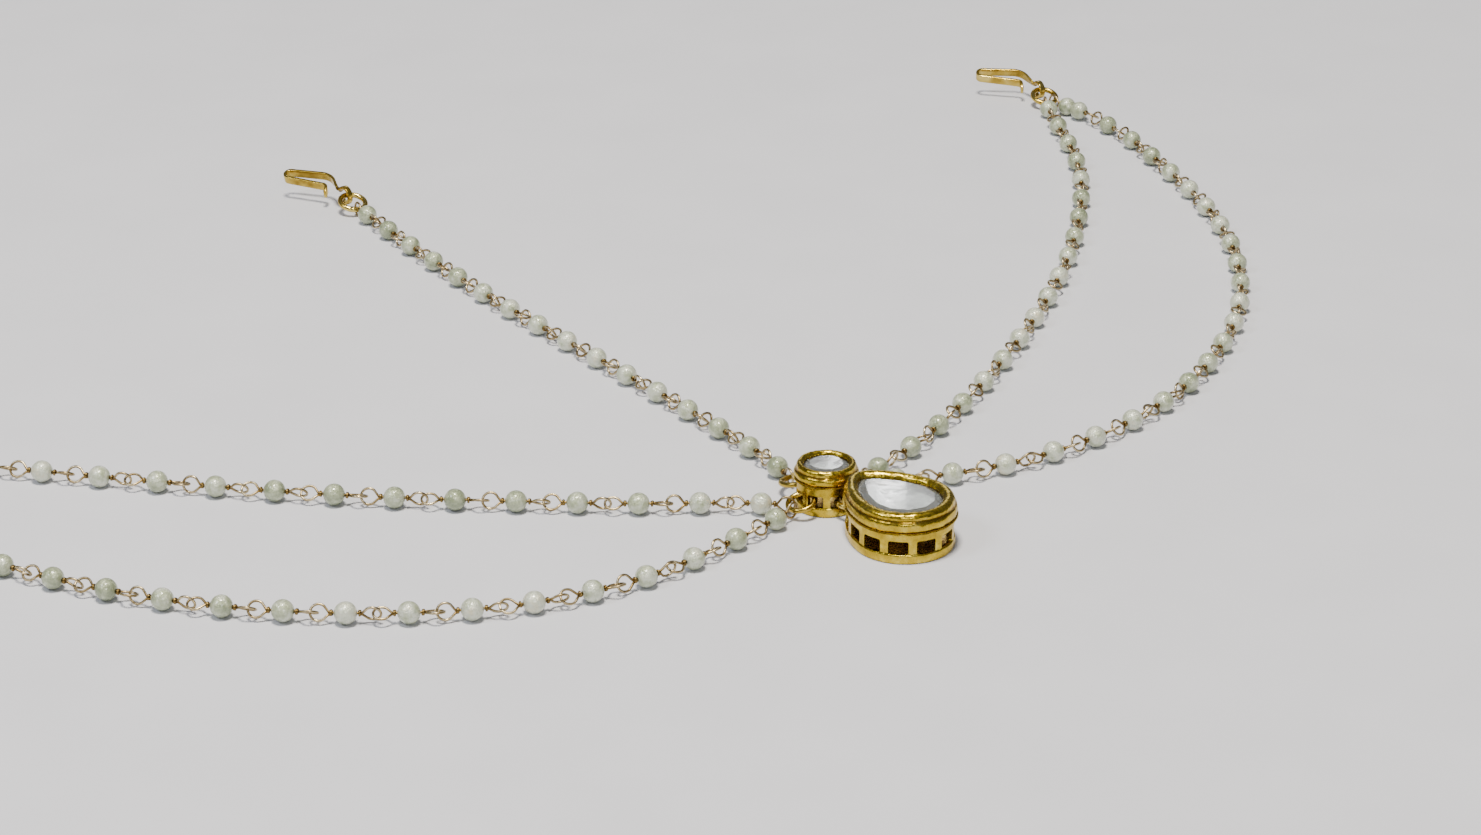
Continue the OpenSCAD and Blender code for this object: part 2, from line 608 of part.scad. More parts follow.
RIGHT_INNER = chain_line(right_line_start, back_ring_r, back_ring_tilt, RIGHT_INNER_ROUTE, RIGHT_HOOK_SPOT,
    RIGHT_INNER_ENDS, RIGHT_INNER_SLACK);
RIGHT_OUTER = chain_line(right_line_start, back_ring_r, back_ring_tilt, RIGHT_OUTER_ROUTE, RIGHT_HOOK_SPOT,
    RIGHT_OUTER_ENDS, RIGHT_OUTER_SLACK);

module left_upper_pearls() pearls(LEFT_UPPER, 1, LEFT_UPPER_SLACK, LEFT_UPPER_ROLL);
module left_upper_pins() pins(LEFT_UPPER, 1, LEFT_UPPER_SLACK, LEFT_UPPER_ROLL);
module left_lower_pearls() pearls(LEFT_LOWER, 1, LEFT_LOWER_SLACK, LEFT_LOWER_ROLL);
module left_lower_pins() pins(LEFT_LOWER, 1, LEFT_LOWER_SLACK, LEFT_LOWER_ROLL);
module centre_pearls() pearls(CENTRE, 1, CENTRE_SLACK, CENTRE_ROLL);
module centre_pins() pins(CENTRE, 1, CENTRE_SLACK, CENTRE_ROLL);
module right_inner_pearls() pearls(RIGHT_INNER, 1, RIGHT_INNER_SLACK, RIGHT_INNER_ROLL);
module right_inner_pins() pins(RIGHT_INNER, 1, RIGHT_INNER_SLACK, RIGHT_INNER_ROLL);
module right_outer_pearls() pearls(RIGHT_OUTER, outer_last_pearls, RIGHT_OUTER_SLACK, RIGHT_OUTER_ROLL);
module right_outer_pins() pins(RIGHT_OUTER, outer_last_pearls, RIGHT_OUTER_SLACK, RIGHT_OUTER_ROLL);

round_setting();
round_stone();
pendant_setting();
pendant_stone();
pendant_ring();
left_ring();
centre_ring();
right_ring();
left_upper_pearls();
left_upper_pins();
left_lower_pearls();
left_lower_pins();
centre_pearls();
centre_pins();
right_inner_pearls();
right_inner_pins();
right_outer_pearls();
right_outer_pins();
left_hook_ring();
centre_hook_ring();
right_hook_ring();
left_hook();
centre_hook();
right_hook();
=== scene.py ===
import math

import bmesh
import bpy
import numpy as np
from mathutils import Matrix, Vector, noise


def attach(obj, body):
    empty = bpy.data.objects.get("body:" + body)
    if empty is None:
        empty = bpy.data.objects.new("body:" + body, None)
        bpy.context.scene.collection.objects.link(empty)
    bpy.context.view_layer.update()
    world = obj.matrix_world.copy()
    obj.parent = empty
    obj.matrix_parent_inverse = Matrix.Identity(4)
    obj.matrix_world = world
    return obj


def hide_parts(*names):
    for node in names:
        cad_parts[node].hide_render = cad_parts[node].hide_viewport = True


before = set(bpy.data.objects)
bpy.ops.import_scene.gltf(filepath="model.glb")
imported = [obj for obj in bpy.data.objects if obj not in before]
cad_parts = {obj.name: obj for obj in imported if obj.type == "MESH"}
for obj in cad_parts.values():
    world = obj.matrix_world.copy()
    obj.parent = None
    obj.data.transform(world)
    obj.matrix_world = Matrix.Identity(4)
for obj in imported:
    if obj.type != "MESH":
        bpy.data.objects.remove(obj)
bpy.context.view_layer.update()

# A matha patti: a round and a pear-shaped stone setting with five chains of imitation pearls,
# laid out flat. Lengths in this script are in millimetres until a mesh is made.
MM = 0.001

# Sizes of the wires, pearls and settings, as they are in the part
PEARL_D = 3.0
PEARL_HOLE_D = 0.6
PIN_WIRE_D = 0.35
COLLAR_LEN = 0.35
EYE_W = 2.5
EYE_LEN = 2.75
FIT = 0.05
WALL_T = 0.55
RAIL_H = 1.3
RAIL_ROUND = 0.2
RAIL_OUT = 0.15
GALLERY_H = 4.2
FLANGE_OUT = 0.5
FLANGE_T = 0.25
GROOVE = 0.15
BEAD_OUT = 0.4
FLOOR_T = 0.5
PLATE_T = 0.4
PLATE_UP = 0.3
STONE_EDGE_H = 0.9
RIM_SIDE = 0.2
ROUND_R = 4.0
ROUND_SETTING = {"bead_h": 0.95, "rim_h": 0.95, "rim_w": 1.0, "window_h": 1.65, "post_w": 0.9, "windows": 8}
PEAR_SETTING = {"bead_h": 1.3, "rim_h": 1.1, "rim_w": 1.65, "window_h": 1.85, "post_w": 1.1, "windows": 12}
PEAR_R = 6.6
PEAR_TIP_R = 2.8
PEAR_STRETCH = 6.9
PEAR_SIDE_R = 13.5
PEAR_TURN = 131
PENDANT_TURN = -49
SETTING_GAP = 0.4

STRANDS = ("left_upper", "left_lower", "centre", "right_inner", "right_outer")
RINGS = ("pendant_ring", "left_ring", "centre_ring", "right_ring")
HOOK_RINGS = ("left_hook_ring", "centre_hook_ring", "right_hook_ring")
LOOSE = 0.12
HOOK_RING_WIRE_D = 0.85
# Each hook: its ring's centre on the surface, the turn to its eye, its own turn, its roll and how far
# its arms spread
HOOKS = {
    "left_hook": ((-149.5, 20.5), 160, 178, 16, 9),
    "centre_hook": ((-72.2, 107.7), 130, 165, 20, 7),
    "right_hook": ((39.7, 157.3), 116, 176, 20, 9),
}


# Colours and material nodes

def linear(code, alpha=1.0):
    """An sRGB hex colour as the linear one that Blender's sockets take."""
    channels = [int(code[i:i + 2], 16) / 255 for i in (1, 3, 5)]
    return (*[c / 12.92 if c <= 0.04045 else ((c + 0.055) / 1.055) ** 2.4 for c in channels], alpha)


def add_node(tree, kind, values=None, links=None, stops=None, **settings):
    """Adds a node with its settings, socket values, incoming links and colour stops."""
    node = tree.nodes.new(kind)
    for name, value in settings.items():
        setattr(node, name, value)
    for socket, value in (values or {}).items():
        node.inputs[socket].default_value = value
    for socket, source in (links or {}).items():
        tree.links.new(source, node.inputs[socket])
    if stops:
        ramp = node.color_ramp
        ramp.elements[0].position, ramp.elements[0].color = stops[0][0], linear(stops[0][1])
        ramp.elements[1].position, ramp.elements[1].color = stops[-1][0], linear(stops[-1][1])
        for place, code in stops[1:-1]:
            ramp.elements.new(place).color = linear(code)
    return node


def new_material(name):
    """An empty material with its output, its Principled shader and coordinates in millimetres."""
    material = bpy.data.materials.new(name)
    material.use_nodes = True
    tree = material.node_tree
    tree.nodes.clear()
    shader = add_node(tree, "ShaderNodeBsdfPrincipled")
    add_node(tree, "ShaderNodeOutputMaterial", links={"Surface": shader.outputs[0]})
    place = add_node(tree, "ShaderNodeTexCoord")
    in_mm = add_node(tree, "ShaderNodeMapping", values={"Scale": (1 / MM,) * 3},
                     links={"Vector": place.outputs["Object"]})
    return material, tree, shader, in_mm.outputs[0]


def gold_plated_cast_brass():
    """Cast brass, polished by hand and thickly gold-plated: deep yellow with a wavy hand-worked
    surface, paler where it is rubbed and brown with painted shade and dirt in the grooves, underneath and
    inside."""
    material, tree, shader, in_mm = new_material("gold_plated_cast_brass")
    # The colour of the plating wanders over one to two millimetres
    cloud = add_node(tree, "ShaderNodeTexNoise", values={"Scale": 0.7, "Detail": 4.0, "Roughness": 0.6},
                     links={"Vector": in_mm})
    gold = add_node(tree, "ShaderNodeValToRGB", links={"Fac": cloud.outputs["Fac"]},
                    stops=[(0.3, "#A58A24"), (0.55, "#C6AA36"), (0.75, "#E2CC5E")])
    recess = add_node(tree, "ShaderNodeAttribute", attribute_name="recess")
    # Painted shade and dirt darken the grooves, the undersides and the inside unevenly, in patches of half
    # a millimetre
    patch = add_node(tree, "ShaderNodeTexNoise", values={"Scale": 2.2, "Detail": 3.0},
                     links={"Vector": in_mm})
    shade_and_dirt = add_node(tree, "ShaderNodeMath", operation="MULTIPLY",
                    links={0: recess.outputs["Fac"], 1: patch.outputs["Fac"]})
    shade_and_dirt_share = add_node(tree, "ShaderNodeMapRange", values={"From Min": 0.15, "From Max": 0.7},
                          links={"Value": shade_and_dirt.outputs[0]})
    colour = add_node(tree, "ShaderNodeMix", data_type="RGBA", values={"B": linear("#7C4E14")},
                      links={"Factor": shade_and_dirt_share.outputs[0], "A": gold.outputs[0]})
    rough = add_node(tree, "ShaderNodeMapRange",
                     values={"From Min": 0.3, "From Max": 0.7, "To Min": 0.18, "To Max": 0.34},
                     links={"Value": patch.outputs["Fac"]})
    # Tool marks and casting skin of half a millimetre
    marks = add_node(tree, "ShaderNodeTexNoise", values={"Scale": 2.0, "Detail": 4.0, "Roughness": 0.5},
                     links={"Vector": in_mm})
    bump = add_node(tree, "ShaderNodeBump", values={"Strength": 0.3, "Distance": 0.06 * MM},
                    links={"Height": marks.outputs["Fac"]})
    shader.inputs["Metallic"].default_value = 1.0
    tree.links.new(colour.outputs["Result"], shader.inputs["Base Color"])
    tree.links.new(rough.outputs[0], shader.inputs["Roughness"])
    tree.links.new(bump.outputs[0], shader.inputs["Normal"])
    return material


def gold_plated_drawn_brass():
    """Brass wire and strip, drawn, bent and gold-plated: bright and smooth, with faint marks and
    a few browner spots where it has been handled."""
    material, tree, shader, in_mm = new_material("gold_plated_drawn_brass")
    # Handled spots are two to three millimetres across
    cloud = add_node(tree, "ShaderNodeTexNoise", values={"Scale": 0.4, "Detail": 2.0, "Roughness": 0.5},
                     links={"Vector": in_mm})
    gold = add_node(tree, "ShaderNodeValToRGB", links={"Fac": cloud.outputs["Fac"]},
                    stops=[(0.3, "#937628"), (0.48, "#BC9F42"), (0.72, "#DCC672")])
    rough = add_node(tree, "ShaderNodeMapRange",
                     values={"From Min": 0.3, "From Max": 0.7, "To Min": 0.32, "To Max": 0.18},
                     links={"Value": cloud.outputs["Fac"]})
    # Shallow dents of half a millimetre
    marks = add_node(tree, "ShaderNodeTexNoise", values={"Scale": 1.8, "Detail": 2.0},
                     links={"Vector": in_mm})
    bump = add_node(tree, "ShaderNodeBump", values={"Strength": 0.15, "Distance": 0.015 * MM},
                    links={"Height": marks.outputs["Fac"]})
    shader.inputs["Metallic"].default_value = 1.0
    tree.links.new(gold.outputs[0], shader.inputs["Base Color"])
    tree.links.new(rough.outputs[0], shader.inputs["Roughness"])
    tree.links.new(bump.outputs[0], shader.inputs["Normal"])
    return material


def worn_flash_gilt_wire():
    """Fine brass wire with a thin flash of gold that has worn: grey-gold on the eyes and brown
    with lacquer and tarnish where it is wrapped."""
    material, tree, shader, in_mm = new_material("worn_flash_gilt_wire")
    # The flash is rubbed through in spots of two millimetres, so each eye has its own tone
    cloud = add_node(tree, "ShaderNodeTexNoise", values={"Scale": 0.55, "Detail": 5.0, "Roughness": 0.7},
                     links={"Vector": in_mm})
    worn = add_node(tree, "ShaderNodeValToRGB", links={"Fac": cloud.outputs["Fac"]},
                    stops=[(0.3, "#75603C"), (0.46, "#AC9870"), (0.6, "#CBBC98"), (0.75, "#D2B063")])
    wrap = add_node(tree, "ShaderNodeAttribute", attribute_name="recess")
    colour = add_node(tree, "ShaderNodeMix", data_type="RGBA", values={"B": linear("#80693C")},
                      links={"Factor": wrap.outputs["Fac"], "A": worn.outputs[0]})
    rough = add_node(tree, "ShaderNodeMapRange",
                     values={"From Min": 0.3, "From Max": 0.7, "To Min": 0.4, "To Max": 0.24},
                     links={"Value": cloud.outputs["Fac"]})
    shader.inputs["Metallic"].default_value = 1.0
    tree.links.new(colour.outputs["Result"], shader.inputs["Base Color"])
    tree.links.new(rough.outputs[0], shader.inputs["Roughness"])
    return material


def pearl_lacquered_plastic():
    """A moulded plastic bead under coats of pearl lacquer: grey-green white with a bright soft
    highlight, fine wrinkles in the coat and a duller tone where it has rubbed."""
    material, tree, shader, in_mm = new_material("pearl_lacquered_plastic")
    # Each bead has its own tone, and the lacquer lies thicker and thinner over a millimetre
    tone = add_node(tree, "ShaderNodeAttribute", attribute_name="bead_tone")
    cloud = add_node(tree, "ShaderNodeTexNoise", values={"Scale": 0.8, "Detail": 4.0, "Roughness": 0.6},
                     links={"Vector": in_mm})
    mixed = add_node(tree, "ShaderNodeMath", operation="ADD",
                     links={0: cloud.outputs["Fac"], 1: tone.outputs["Fac"]})
    coat = add_node(tree, "ShaderNodeValToRGB", links={"Fac": mixed.outputs[0]},
                    stops=[(0.28, "#8E9877"), (0.46, "#B7BF9E"), (0.64, "#D9DECB"), (0.9, "#DED6B4")])
    # The coat has dried in wrinkles half a millimetre apart
    wrinkles = add_node(tree, "ShaderNodeTexNoise",
                        values={"Scale": 1.6, "Detail": 4.0, "Roughness": 0.6, "Distortion": 2.0},
                        links={"Vector": in_mm})
    bump = add_node(tree, "ShaderNodeBump", values={"Strength": 1.0, "Distance": 0.16 * MM},
                    links={"Height": wrinkles.outputs["Fac"]})
    rough = add_node(tree, "ShaderNodeMapRange",
                     values={"From Min": 0.3, "From Max": 0.7, "To Min": 0.5, "To Max": 0.32},
                     links={"Value": wrinkles.outputs["Fac"]})
    shader.inputs["IOR"].default_value = 1.53
    shader.inputs["Metallic"].default_value = 0.35
    shader.inputs["Coat Weight"].default_value = 1.0
    shader.inputs["Coat Roughness"].default_value = 0.12
    tree.links.new(coat.outputs[0], shader.inputs["Base Color"])
    tree.links.new(rough.outputs[0], shader.inputs["Roughness"])
    tree.links.new(bump.outputs[0], shader.inputs["Normal"])
    return material


def cut_crown_glass():
    """Clear glass, ground and polished flat: sharp reflections on the table and the bevel, a
    faintly milky body and the wipe marks of handling."""
    material, tree, shader, in_mm = new_material("cut_crown_glass")
    # Wipe marks are a millimetre wide and only dull the polish
    smears = add_node(tree, "ShaderNodeTexNoise", values={"Scale": 0.9, "Detail": 3.0, "Distortion": 0.8},
                      links={"Vector": in_mm})
    rough = add_node(tree, "ShaderNodeMapRange",
                     values={"From Min": 0.35, "From Max": 0.75, "To Min": 0.02, "To Max": 0.12},
                     links={"Value": smears.outputs["Fac"]})
    shader.inputs["Base Color"].default_value = linear("#F2F5F3")
    shader.inputs["IOR"].default_value = 1.52
    shader.inputs["Transmission Weight"].default_value = 0.93
    tree.links.new(rough.outputs[0], shader.inputs["Roughness"])
    return material


def crumpled_silver_foil():
    """Thin silver foil pressed in behind the glass: bright, with grey patches of painted shade standing for
    its creases.
    """
    material, tree, shader, in_mm = new_material("crumpled_silver_foil")
    # Painted shade of creases and pressed spots: grey patches from one to three millimetres across
    cloud = add_node(tree, "ShaderNodeTexNoise",
                     values={"Scale": 0.36, "Detail": 5.0, "Roughness": 0.65, "Distortion": 1.0},
                     links={"Vector": in_mm})
    silver_and_crease_shade = add_node(tree, "ShaderNodeValToRGB", links={"Fac": cloud.outputs["Fac"]},
                      stops=[(0.4, "#596260"), (0.5, "#A9AFAB"), (0.6, "#F4F6F2")])
    # It lies in soft folds three millimetres apart
    folds = add_node(tree, "ShaderNodeTexNoise",
                     values={"Scale": 0.3, "Detail": 3.0, "Roughness": 0.5, "Distortion": 0.6},
                     links={"Vector": in_mm})
    bump = add_node(tree, "ShaderNodeBump", values={"Strength": 1.0, "Distance": 0.5 * MM},
                    links={"Height": folds.outputs["Fac"]})
    shader.inputs["Metallic"].default_value = 0.9
    shader.inputs["Roughness"].default_value = 0.18
    tree.links.new(silver_and_crease_shade.outputs[0], shader.inputs["Base Color"])
    tree.links.new(bump.outputs[0], shader.inputs["Normal"])
    return material


def pale_studio_paper():
    """Matt paper under the piece, pale and plain, with a tone that barely wanders over its width."""
    material, tree, shader, in_mm = new_material("pale_studio_paper")
    # Clouds in the pulp are drawn two centimetres wide, far coarser than its fibres
    fibre = add_node(tree, "ShaderNodeTexNoise", values={"Scale": 0.05, "Detail": 3.0},
                     links={"Vector": in_mm})
    tint = add_node(tree, "ShaderNodeValToRGB", links={"Fac": fibre.outputs["Fac"]},
                    stops=[(0.3, "#D3D4DA"), (0.7, "#D7D8DE")])
    shader.inputs["Roughness"].default_value = 0.85
    tree.links.new(tint.outputs[0], shader.inputs["Base Color"])
    return material


# Mesh helpers

def turned(r, degrees):
    """The point at distance r in that direction."""
    return np.array([r * math.cos(math.radians(degrees)), r * math.sin(math.radians(degrees))])


def joined(parts):
    """Several (corners, faces, tones) as one."""
    corners, faces, tones, count = [], [], [], 0
    for part_corners, part_faces, part_tones in parts:
        corners.append(part_corners)
        tones.append(part_tones)
        faces.extend(tuple(i + count for i in face) for face in part_faces)
        count += len(part_corners)
    return np.concatenate(corners), faces, np.concatenate(tones)


def make_piece(name, part, material, replaced=(), tone_name="recess", sharp_above=40):
    """A mesh object from (corners in mm, faces, tones) that rides on the body."""
    corners, faces, tones = part
    mesh = bpy.data.meshes.new(name)
    mesh.from_pydata((corners * MM).tolist(), [], faces)
    tidy = bmesh.new()
    tidy.from_mesh(mesh)
    bmesh.ops.recalc_face_normals(tidy, faces=tidy.faces)
    tidy.to_mesh(mesh)
    tidy.free()
    tone_layer = mesh.attributes.new(tone_name, "FLOAT", "POINT")
    tone_layer.data.foreach_set("value", np.asarray(tones, np.float32))
    mesh.polygons.foreach_set("use_smooth", [True] * len(mesh.polygons))
    mesh.set_sharp_from_angle(angle=math.radians(sharp_above))
    mesh.materials.append(material)
    piece = bpy.data.objects.new(name, mesh)
    bpy.context.scene.collection.objects.link(piece)
    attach(piece, "root")
    if replaced:
        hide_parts(*replaced)
    return piece


def unit(v):
    """v at length one."""
    return v / np.linalg.norm(v)


# Two smaller rings of corners round off each cut end of a wire, at these turns
END_TURNS = (70, 35)
ALMOST_ALONG = 0.9


def directions(line):
    """The direction of a line at each of its points."""
    steps = np.diff(line, axis=0)
    steps /= np.linalg.norm(steps, axis=1)[:, None]
    forward = np.vstack([steps[:1], steps[:-1] + steps[1:], steps[-1:]])
    return forward / np.linalg.norm(forward, axis=1)[:, None]


def swept_wire(line, radius, sides, first_side=None, tones=None):
    """Round wire along a line of points, with rounded ends, as (corners, faces, tones)."""
    line = np.asarray(line, float)
    forward = directions(line)
    side = np.array(first_side if first_side is not None else (0.0, 0.0, 1.0))
    # A side that points almost along the line is changed for another
    if abs(side @ forward[0]) > ALMOST_ALONG:
        side = np.array((1.0, 0.0, 0.0))
    tones = np.zeros(len(line)) if tones is None else np.asarray(tones, float)
    rise = [(math.sin(a), math.cos(a)) for a in map(math.radians, END_TURNS)]
    places = [(line[0] - forward[0] * radius * s, forward[0], radius * c, tones[0]) for s, c in rise]
    places += [(p, f, radius, t) for p, f, t in zip(line, forward, tones)]
    places += [(line[-1] + forward[-1] * radius * s, forward[-1], radius * c, tones[-1])
               for s, c in rise[::-1]]
    angles = np.linspace(0, 2 * math.pi, sides, endpoint=False)
    corners, shade = [], []
    for middle, along, r, tone in places:
        side = unit(side - along * (side @ along))
        other = np.cross(along, side)
        corners.append(middle + r * (np.outer(np.cos(angles), side) + np.outer(np.sin(angles), other)))
        shade += [tone] * sides
    faces = [(k * sides + i, k * sides + (i + 1) % sides,
              (k + 1) * sides + (i + 1) % sides, (k + 1) * sides + i)
             for k in range(len(places) - 1) for i in range(sides)]
    faces.append(tuple(range(sides)))
    last = (len(places) - 1) * sides
    faces.append(tuple(range(last, last + sides)))
    return np.concatenate(corners), faces, np.array(shade)


# Places of the beads, pins and rings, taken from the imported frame

def loose_parts(node):
    """The separate closed pieces of a CAD node, each as (corners, triangles) in millimetres."""
    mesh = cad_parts[node].data
    corners = np.zeros(len(mesh.vertices) * 3, np.float32)
    mesh.vertices.foreach_get("co", corners)
    mesh.calc_loop_triangles()
    triangles = np.zeros(len(mesh.loop_triangles) * 3, np.int32)
    mesh.loop_triangles.foreach_get("vertices", triangles)
    corners, same = np.unique(corners.reshape(-1, 3), axis=0, return_inverse=True)
    triangles = same.reshape(-1)[triangles].reshape(-1, 3)
    # Corners of one triangle take the lowest of their labels, until none changes any more
    label = np.arange(len(corners))
    while True:
        lower = label.copy()
        np.minimum.at(lower, triangles.reshape(-1), np.repeat(label[triangles].min(axis=1), 3))
        lower = lower[lower]
        if (lower == label).all():
            break
        label = lower
    corners = corners.astype(float) / MM
    return [(corners, triangles[label[triangles[:, 0]] == n]) for n in np.unique(label[triangles])]


def middle_and_axes(corners, triangles):
    """The middle of a closed piece's surface and its axes, from the shortest to the longest."""
    a, b, c = corners[triangles].transpose(1, 0, 2)
    area = np.linalg.norm(np.cross(b - a, c - a), axis=1)
    centres = (a + b + c) / 3
    middle = (centres * area[:, None]).sum(axis=0) / area.sum()
    away = centres - middle
    spread = (away * area[:, None]).T @ away
    return middle, np.linalg.eigh(spread)[1].T


# The share of an eye's width, from its far end inward, that is read for its turn
EYE_READ = 0.75


def pins_of(strand):
    """Each pin of a strand as its middle, its axis, its half length and the turns of its eyes."""
    found = []
    for corners, triangles in loose_parts(strand + "_pins"):
        middle, axes = middle_and_axes(corners, triangles)
        along = axes[2]
        away = corners[np.unique(triangles)] - middle
        reach = away @ along
        half = reach.max()
        eyes = []
        for direction in (1, -1):
            eye = away[direction * reach > half - EYE_W * EYE_READ]
            flat = eye - np.outer(eye @ along, along)
            eyes.append(np.linalg.eigh(flat.T @ flat)[1].T[2])
        found.append((middle, along, half, eyes))
    return found


# Pearls and their pins

PEARL_ROWS = 26
PEARL_COLUMNS = 32
HOLE_ROWS = 3
# A direction that none of the chains has
OFF_LINE = (0.3, 0.5, 0.8)
# The coat lies this share of the radius within the bead's full size, and its broad dents and fine
# wrinkles are given as (how many to a millimetre, how deep as a share of the radius)
COAT_IN = 0.012
BROAD_DENTS = (0.55, 0.012)
FINE_WRINKLES = (2.1, 0.018)
# Steps from one bead's pattern to the next one's
PATTERN_STEPS = (7.3, 3.1, 1.7)
# One bead's tone differs from the next one's by two waves of (strength, step)
TONE_WAVES = ((0.12, 12.9898), (0.05, 4.1))


def pearl(middle, along, number):
    """One drilled bead whose coat has dried a little unevenly."""
    seed = Vector([number * step for step in PATTERN_STEPS])
    hole = math.asin(PEARL_HOLE_D / PEARL_D)
    arc = np.linspace(hole, math.pi - hole, PEARL_ROWS)
    profile = [(PEARL_D / 2 * math.cos(t), PEARL_D / 2 * math.sin(t)) for t in arc]
    end = profile[0][0]
    profile += [(-end + 2 * end * k / (HOLE_ROWS + 1), PEARL_HOLE_D / 2) for k in range(1, HOLE_ROWS + 1)]
    side = unit(np.cross(along, OFF_LINE))
    other = np.cross(along, side)
    corners = []
    for row, (x, r) in enumerate(profile):
        for k in range(PEARL_COLUMNS):
            a = 2 * math.pi * k / PEARL_COLUMNS
            p = along * x + (side * math.cos(a) + other * math.sin(a)) * r
            if row < PEARL_ROWS:
                broad = noise.noise(Vector(p * BROAD_DENTS[0]) + seed)
                fine = abs(noise.noise(Vector(p * FINE_WRINKLES[0]) + seed))
                p = p * (1 - COAT_IN - BROAD_DENTS[1] * broad - FINE_WRINKLES[1] * fine)
            corners.append(middle + p)
    n, rows = PEARL_COLUMNS, len(profile)
    faces = [(r * n + k, r * n + (k + 1) % n, ((r + 1) % rows) * n + (k + 1) % n, ((r + 1) % rows) * n + k)
             for r in range(rows) for k in range(n)]
    tone = sum(strength * math.sin(number * step) for strength, step in TONE_WAVES)
    return np.array(corners), faces, np.full(len(corners), tone)


# The wire leaves the pearl straight, swings a little aside at the eye's neck, sways from one side of
# the eye to the other, crosses back over its neck and is then wrapped round itself
NECK_START = 0.1
NECK_EASE = 0.22
NECK_ASIDE = (0.06, 0.03)
NECK_BACK = (-0.26, -0.06)
EYE_SWAY = 0.05
EYE_STEPS = 24
WRAP_R = 0.27
WRAP_STEPS = 26
PIN_WIRE_SIDES = 8
# The last turn of the wrap ends this far short of the pearl
WRAP_SHORT = 0.16
# Each end is wrapped by hand between these turns, by waves along X, along Y and from end to end
WRAP_TURNS = (1.1, 1.9)
WRAP_WAVES = (5.3, 3.7, 2.1)


def pin_side(half, sign, along, across, wrap_turns):
    """The wire from near the pearl through one eye and back round itself, as points and tones."""
    up = np.cross(along * sign, across)
    eye_r = (EYE_W - PIN_WIRE_D) / 2
    centre = half - PIN_WIRE_D / 2 - eye_r
    collar_out = half - EYE_LEN
    collar_in = collar_out - COLLAR_LEN
    spread = math.degrees(math.acos(eye_r / (centre - collar_out + PIN_WIRE_D / 2)))
    points = [(collar_in, 0, 0), (collar_out - NECK_START, 0, 0), (collar_out + NECK_EASE, *NECK_ASIDE)]
    for k in range(EYE_STEPS + 1):
        x, y = turned(eye_r, 180 - spread - (360 - 2 * spread) * k / EYE_STEPS)
        points.append((centre + x, y, EYE_SWAY - 2 * EYE_SWAY * k / EYE_STEPS))
    points.append((collar_out + NECK_EASE, *NECK_BACK))
    bare = len(points)
    for k in range(WRAP_STEPS + 1):
        y, z = turned(WRAP_R, 180 + 360 * wrap_turns * k / WRAP_STEPS)
        points.append((collar_out - (COLLAR_LEN - WRAP_SHORT) * k / WRAP_STEPS, y, z))
    # Only the eye itself is bare: the wire before it and all that is wrapped has its brown lacquer
    tones = np.zeros(len(points))
    tones[:3] = 1
    tones[bare - 1:] = 1
    points = np.array(points)
    return points @ np.array([along * sign, across, up]), tones


def eye_pin(pin):
    """One wire: wrapped, through one eye, through the pearl, and the same at the other end."""
    middle, along, half, eyes = pin
    few, many = WRAP_TURNS
    x_wave, y_wave, end_wave = WRAP_WAVES
    share = [0.5 + 0.5 * math.sin(middle[0] * x_wave + middle[1] * y_wave + k * end_wave) for k in (0, 1)]
    far, far_tones = pin_side(half, 1, along, eyes[0], few + (many - few) * share[0])
    near, near_tones = pin_side(half, -1, along, eyes[1], few + (many - few) * share[1])
    line = np.vstack([near[::-1], far]) + middle
    tones = np.concatenate([near_tones[::-1], far_tones])
    return swept_wire(line, PIN_WIRE_D / 2, PIN_WIRE_SIDES, tones=tones)


def make_strand(strand, first_number):
    """The pearls and pins of one strand. Gives the number of its pearls."""
    pins = pins_of(strand)
    middles = np.array([pin[0] for pin in pins])
    beads = []
    for k, (corners, triangles) in enumerate(loose_parts(strand + "_pearls")):
        middle = middle_and_axes(corners, triangles)[0]
        nearest = int(np.argmin(np.linalg.norm(middles - middle, axis=1)))
        beads.append(pearl(middle, pins[nearest][1], first_number + k))
    wires = [eye_pin(pin) for pin in pins]
    make_piece(strand + "_pearl_beads", joined(beads), LACQUER, [strand + "_pearls"],
               tone_name="bead_tone", sharp_above=60)
    make_piece(strand + "_eye_pins", joined(wires), WORN_WIRE, [strand + "_pins"],
               sharp_above=80)
    return len(beads)


# Jump rings and hooks

# Half of each ring's cut, as a turn, and where the rings are cut, one after the other
RING_CUT = 4
FIRST_CUT = 35
CUT_STEP = 75
RING_STEPS = 56
RING_WIRE_SIDES = 14
# A ring whose axis is nearer upright than this counts as lying flat
NEARLY_UPRIGHT = 0.999


def jump_ring(node, cut_turn):
    """A ring of wire whose two ends nearly meet, cut at that turn round its axis."""
    corners, triangles = loose_parts(node)[0]
    middle, axes = middle_and_axes(corners, triangles)
    away = corners[np.unique(triangles)] - middle
    normal = axes[0]
    wire_r = np.abs(away @ normal).max()
    across = np.linalg.norm(away - np.outer(away @ normal, normal), axis=1).max() - wire_r
    upright = (0.0, 0.0, 1.0) if abs(normal[2]) < NEARLY_UPRIGHT else (0.0, 1.0, 0.0)
    side = unit(np.cross(normal, upright))
    other = np.cross(normal, side)
    turns = np.radians(np.linspace(cut_turn + RING_CUT, cut_turn + 360 - RING_CUT, RING_STEPS + 1))
    line = middle + across * (np.outer(np.cos(turns), side) + np.outer(np.sin(turns), other))
    wire = swept_wire(line, wire_r, RING_WIRE_SIDES, first_side=normal)
    make_piece(node + "_wire", wire, BRIGHT_BRASS, [node], sharp_above=80)


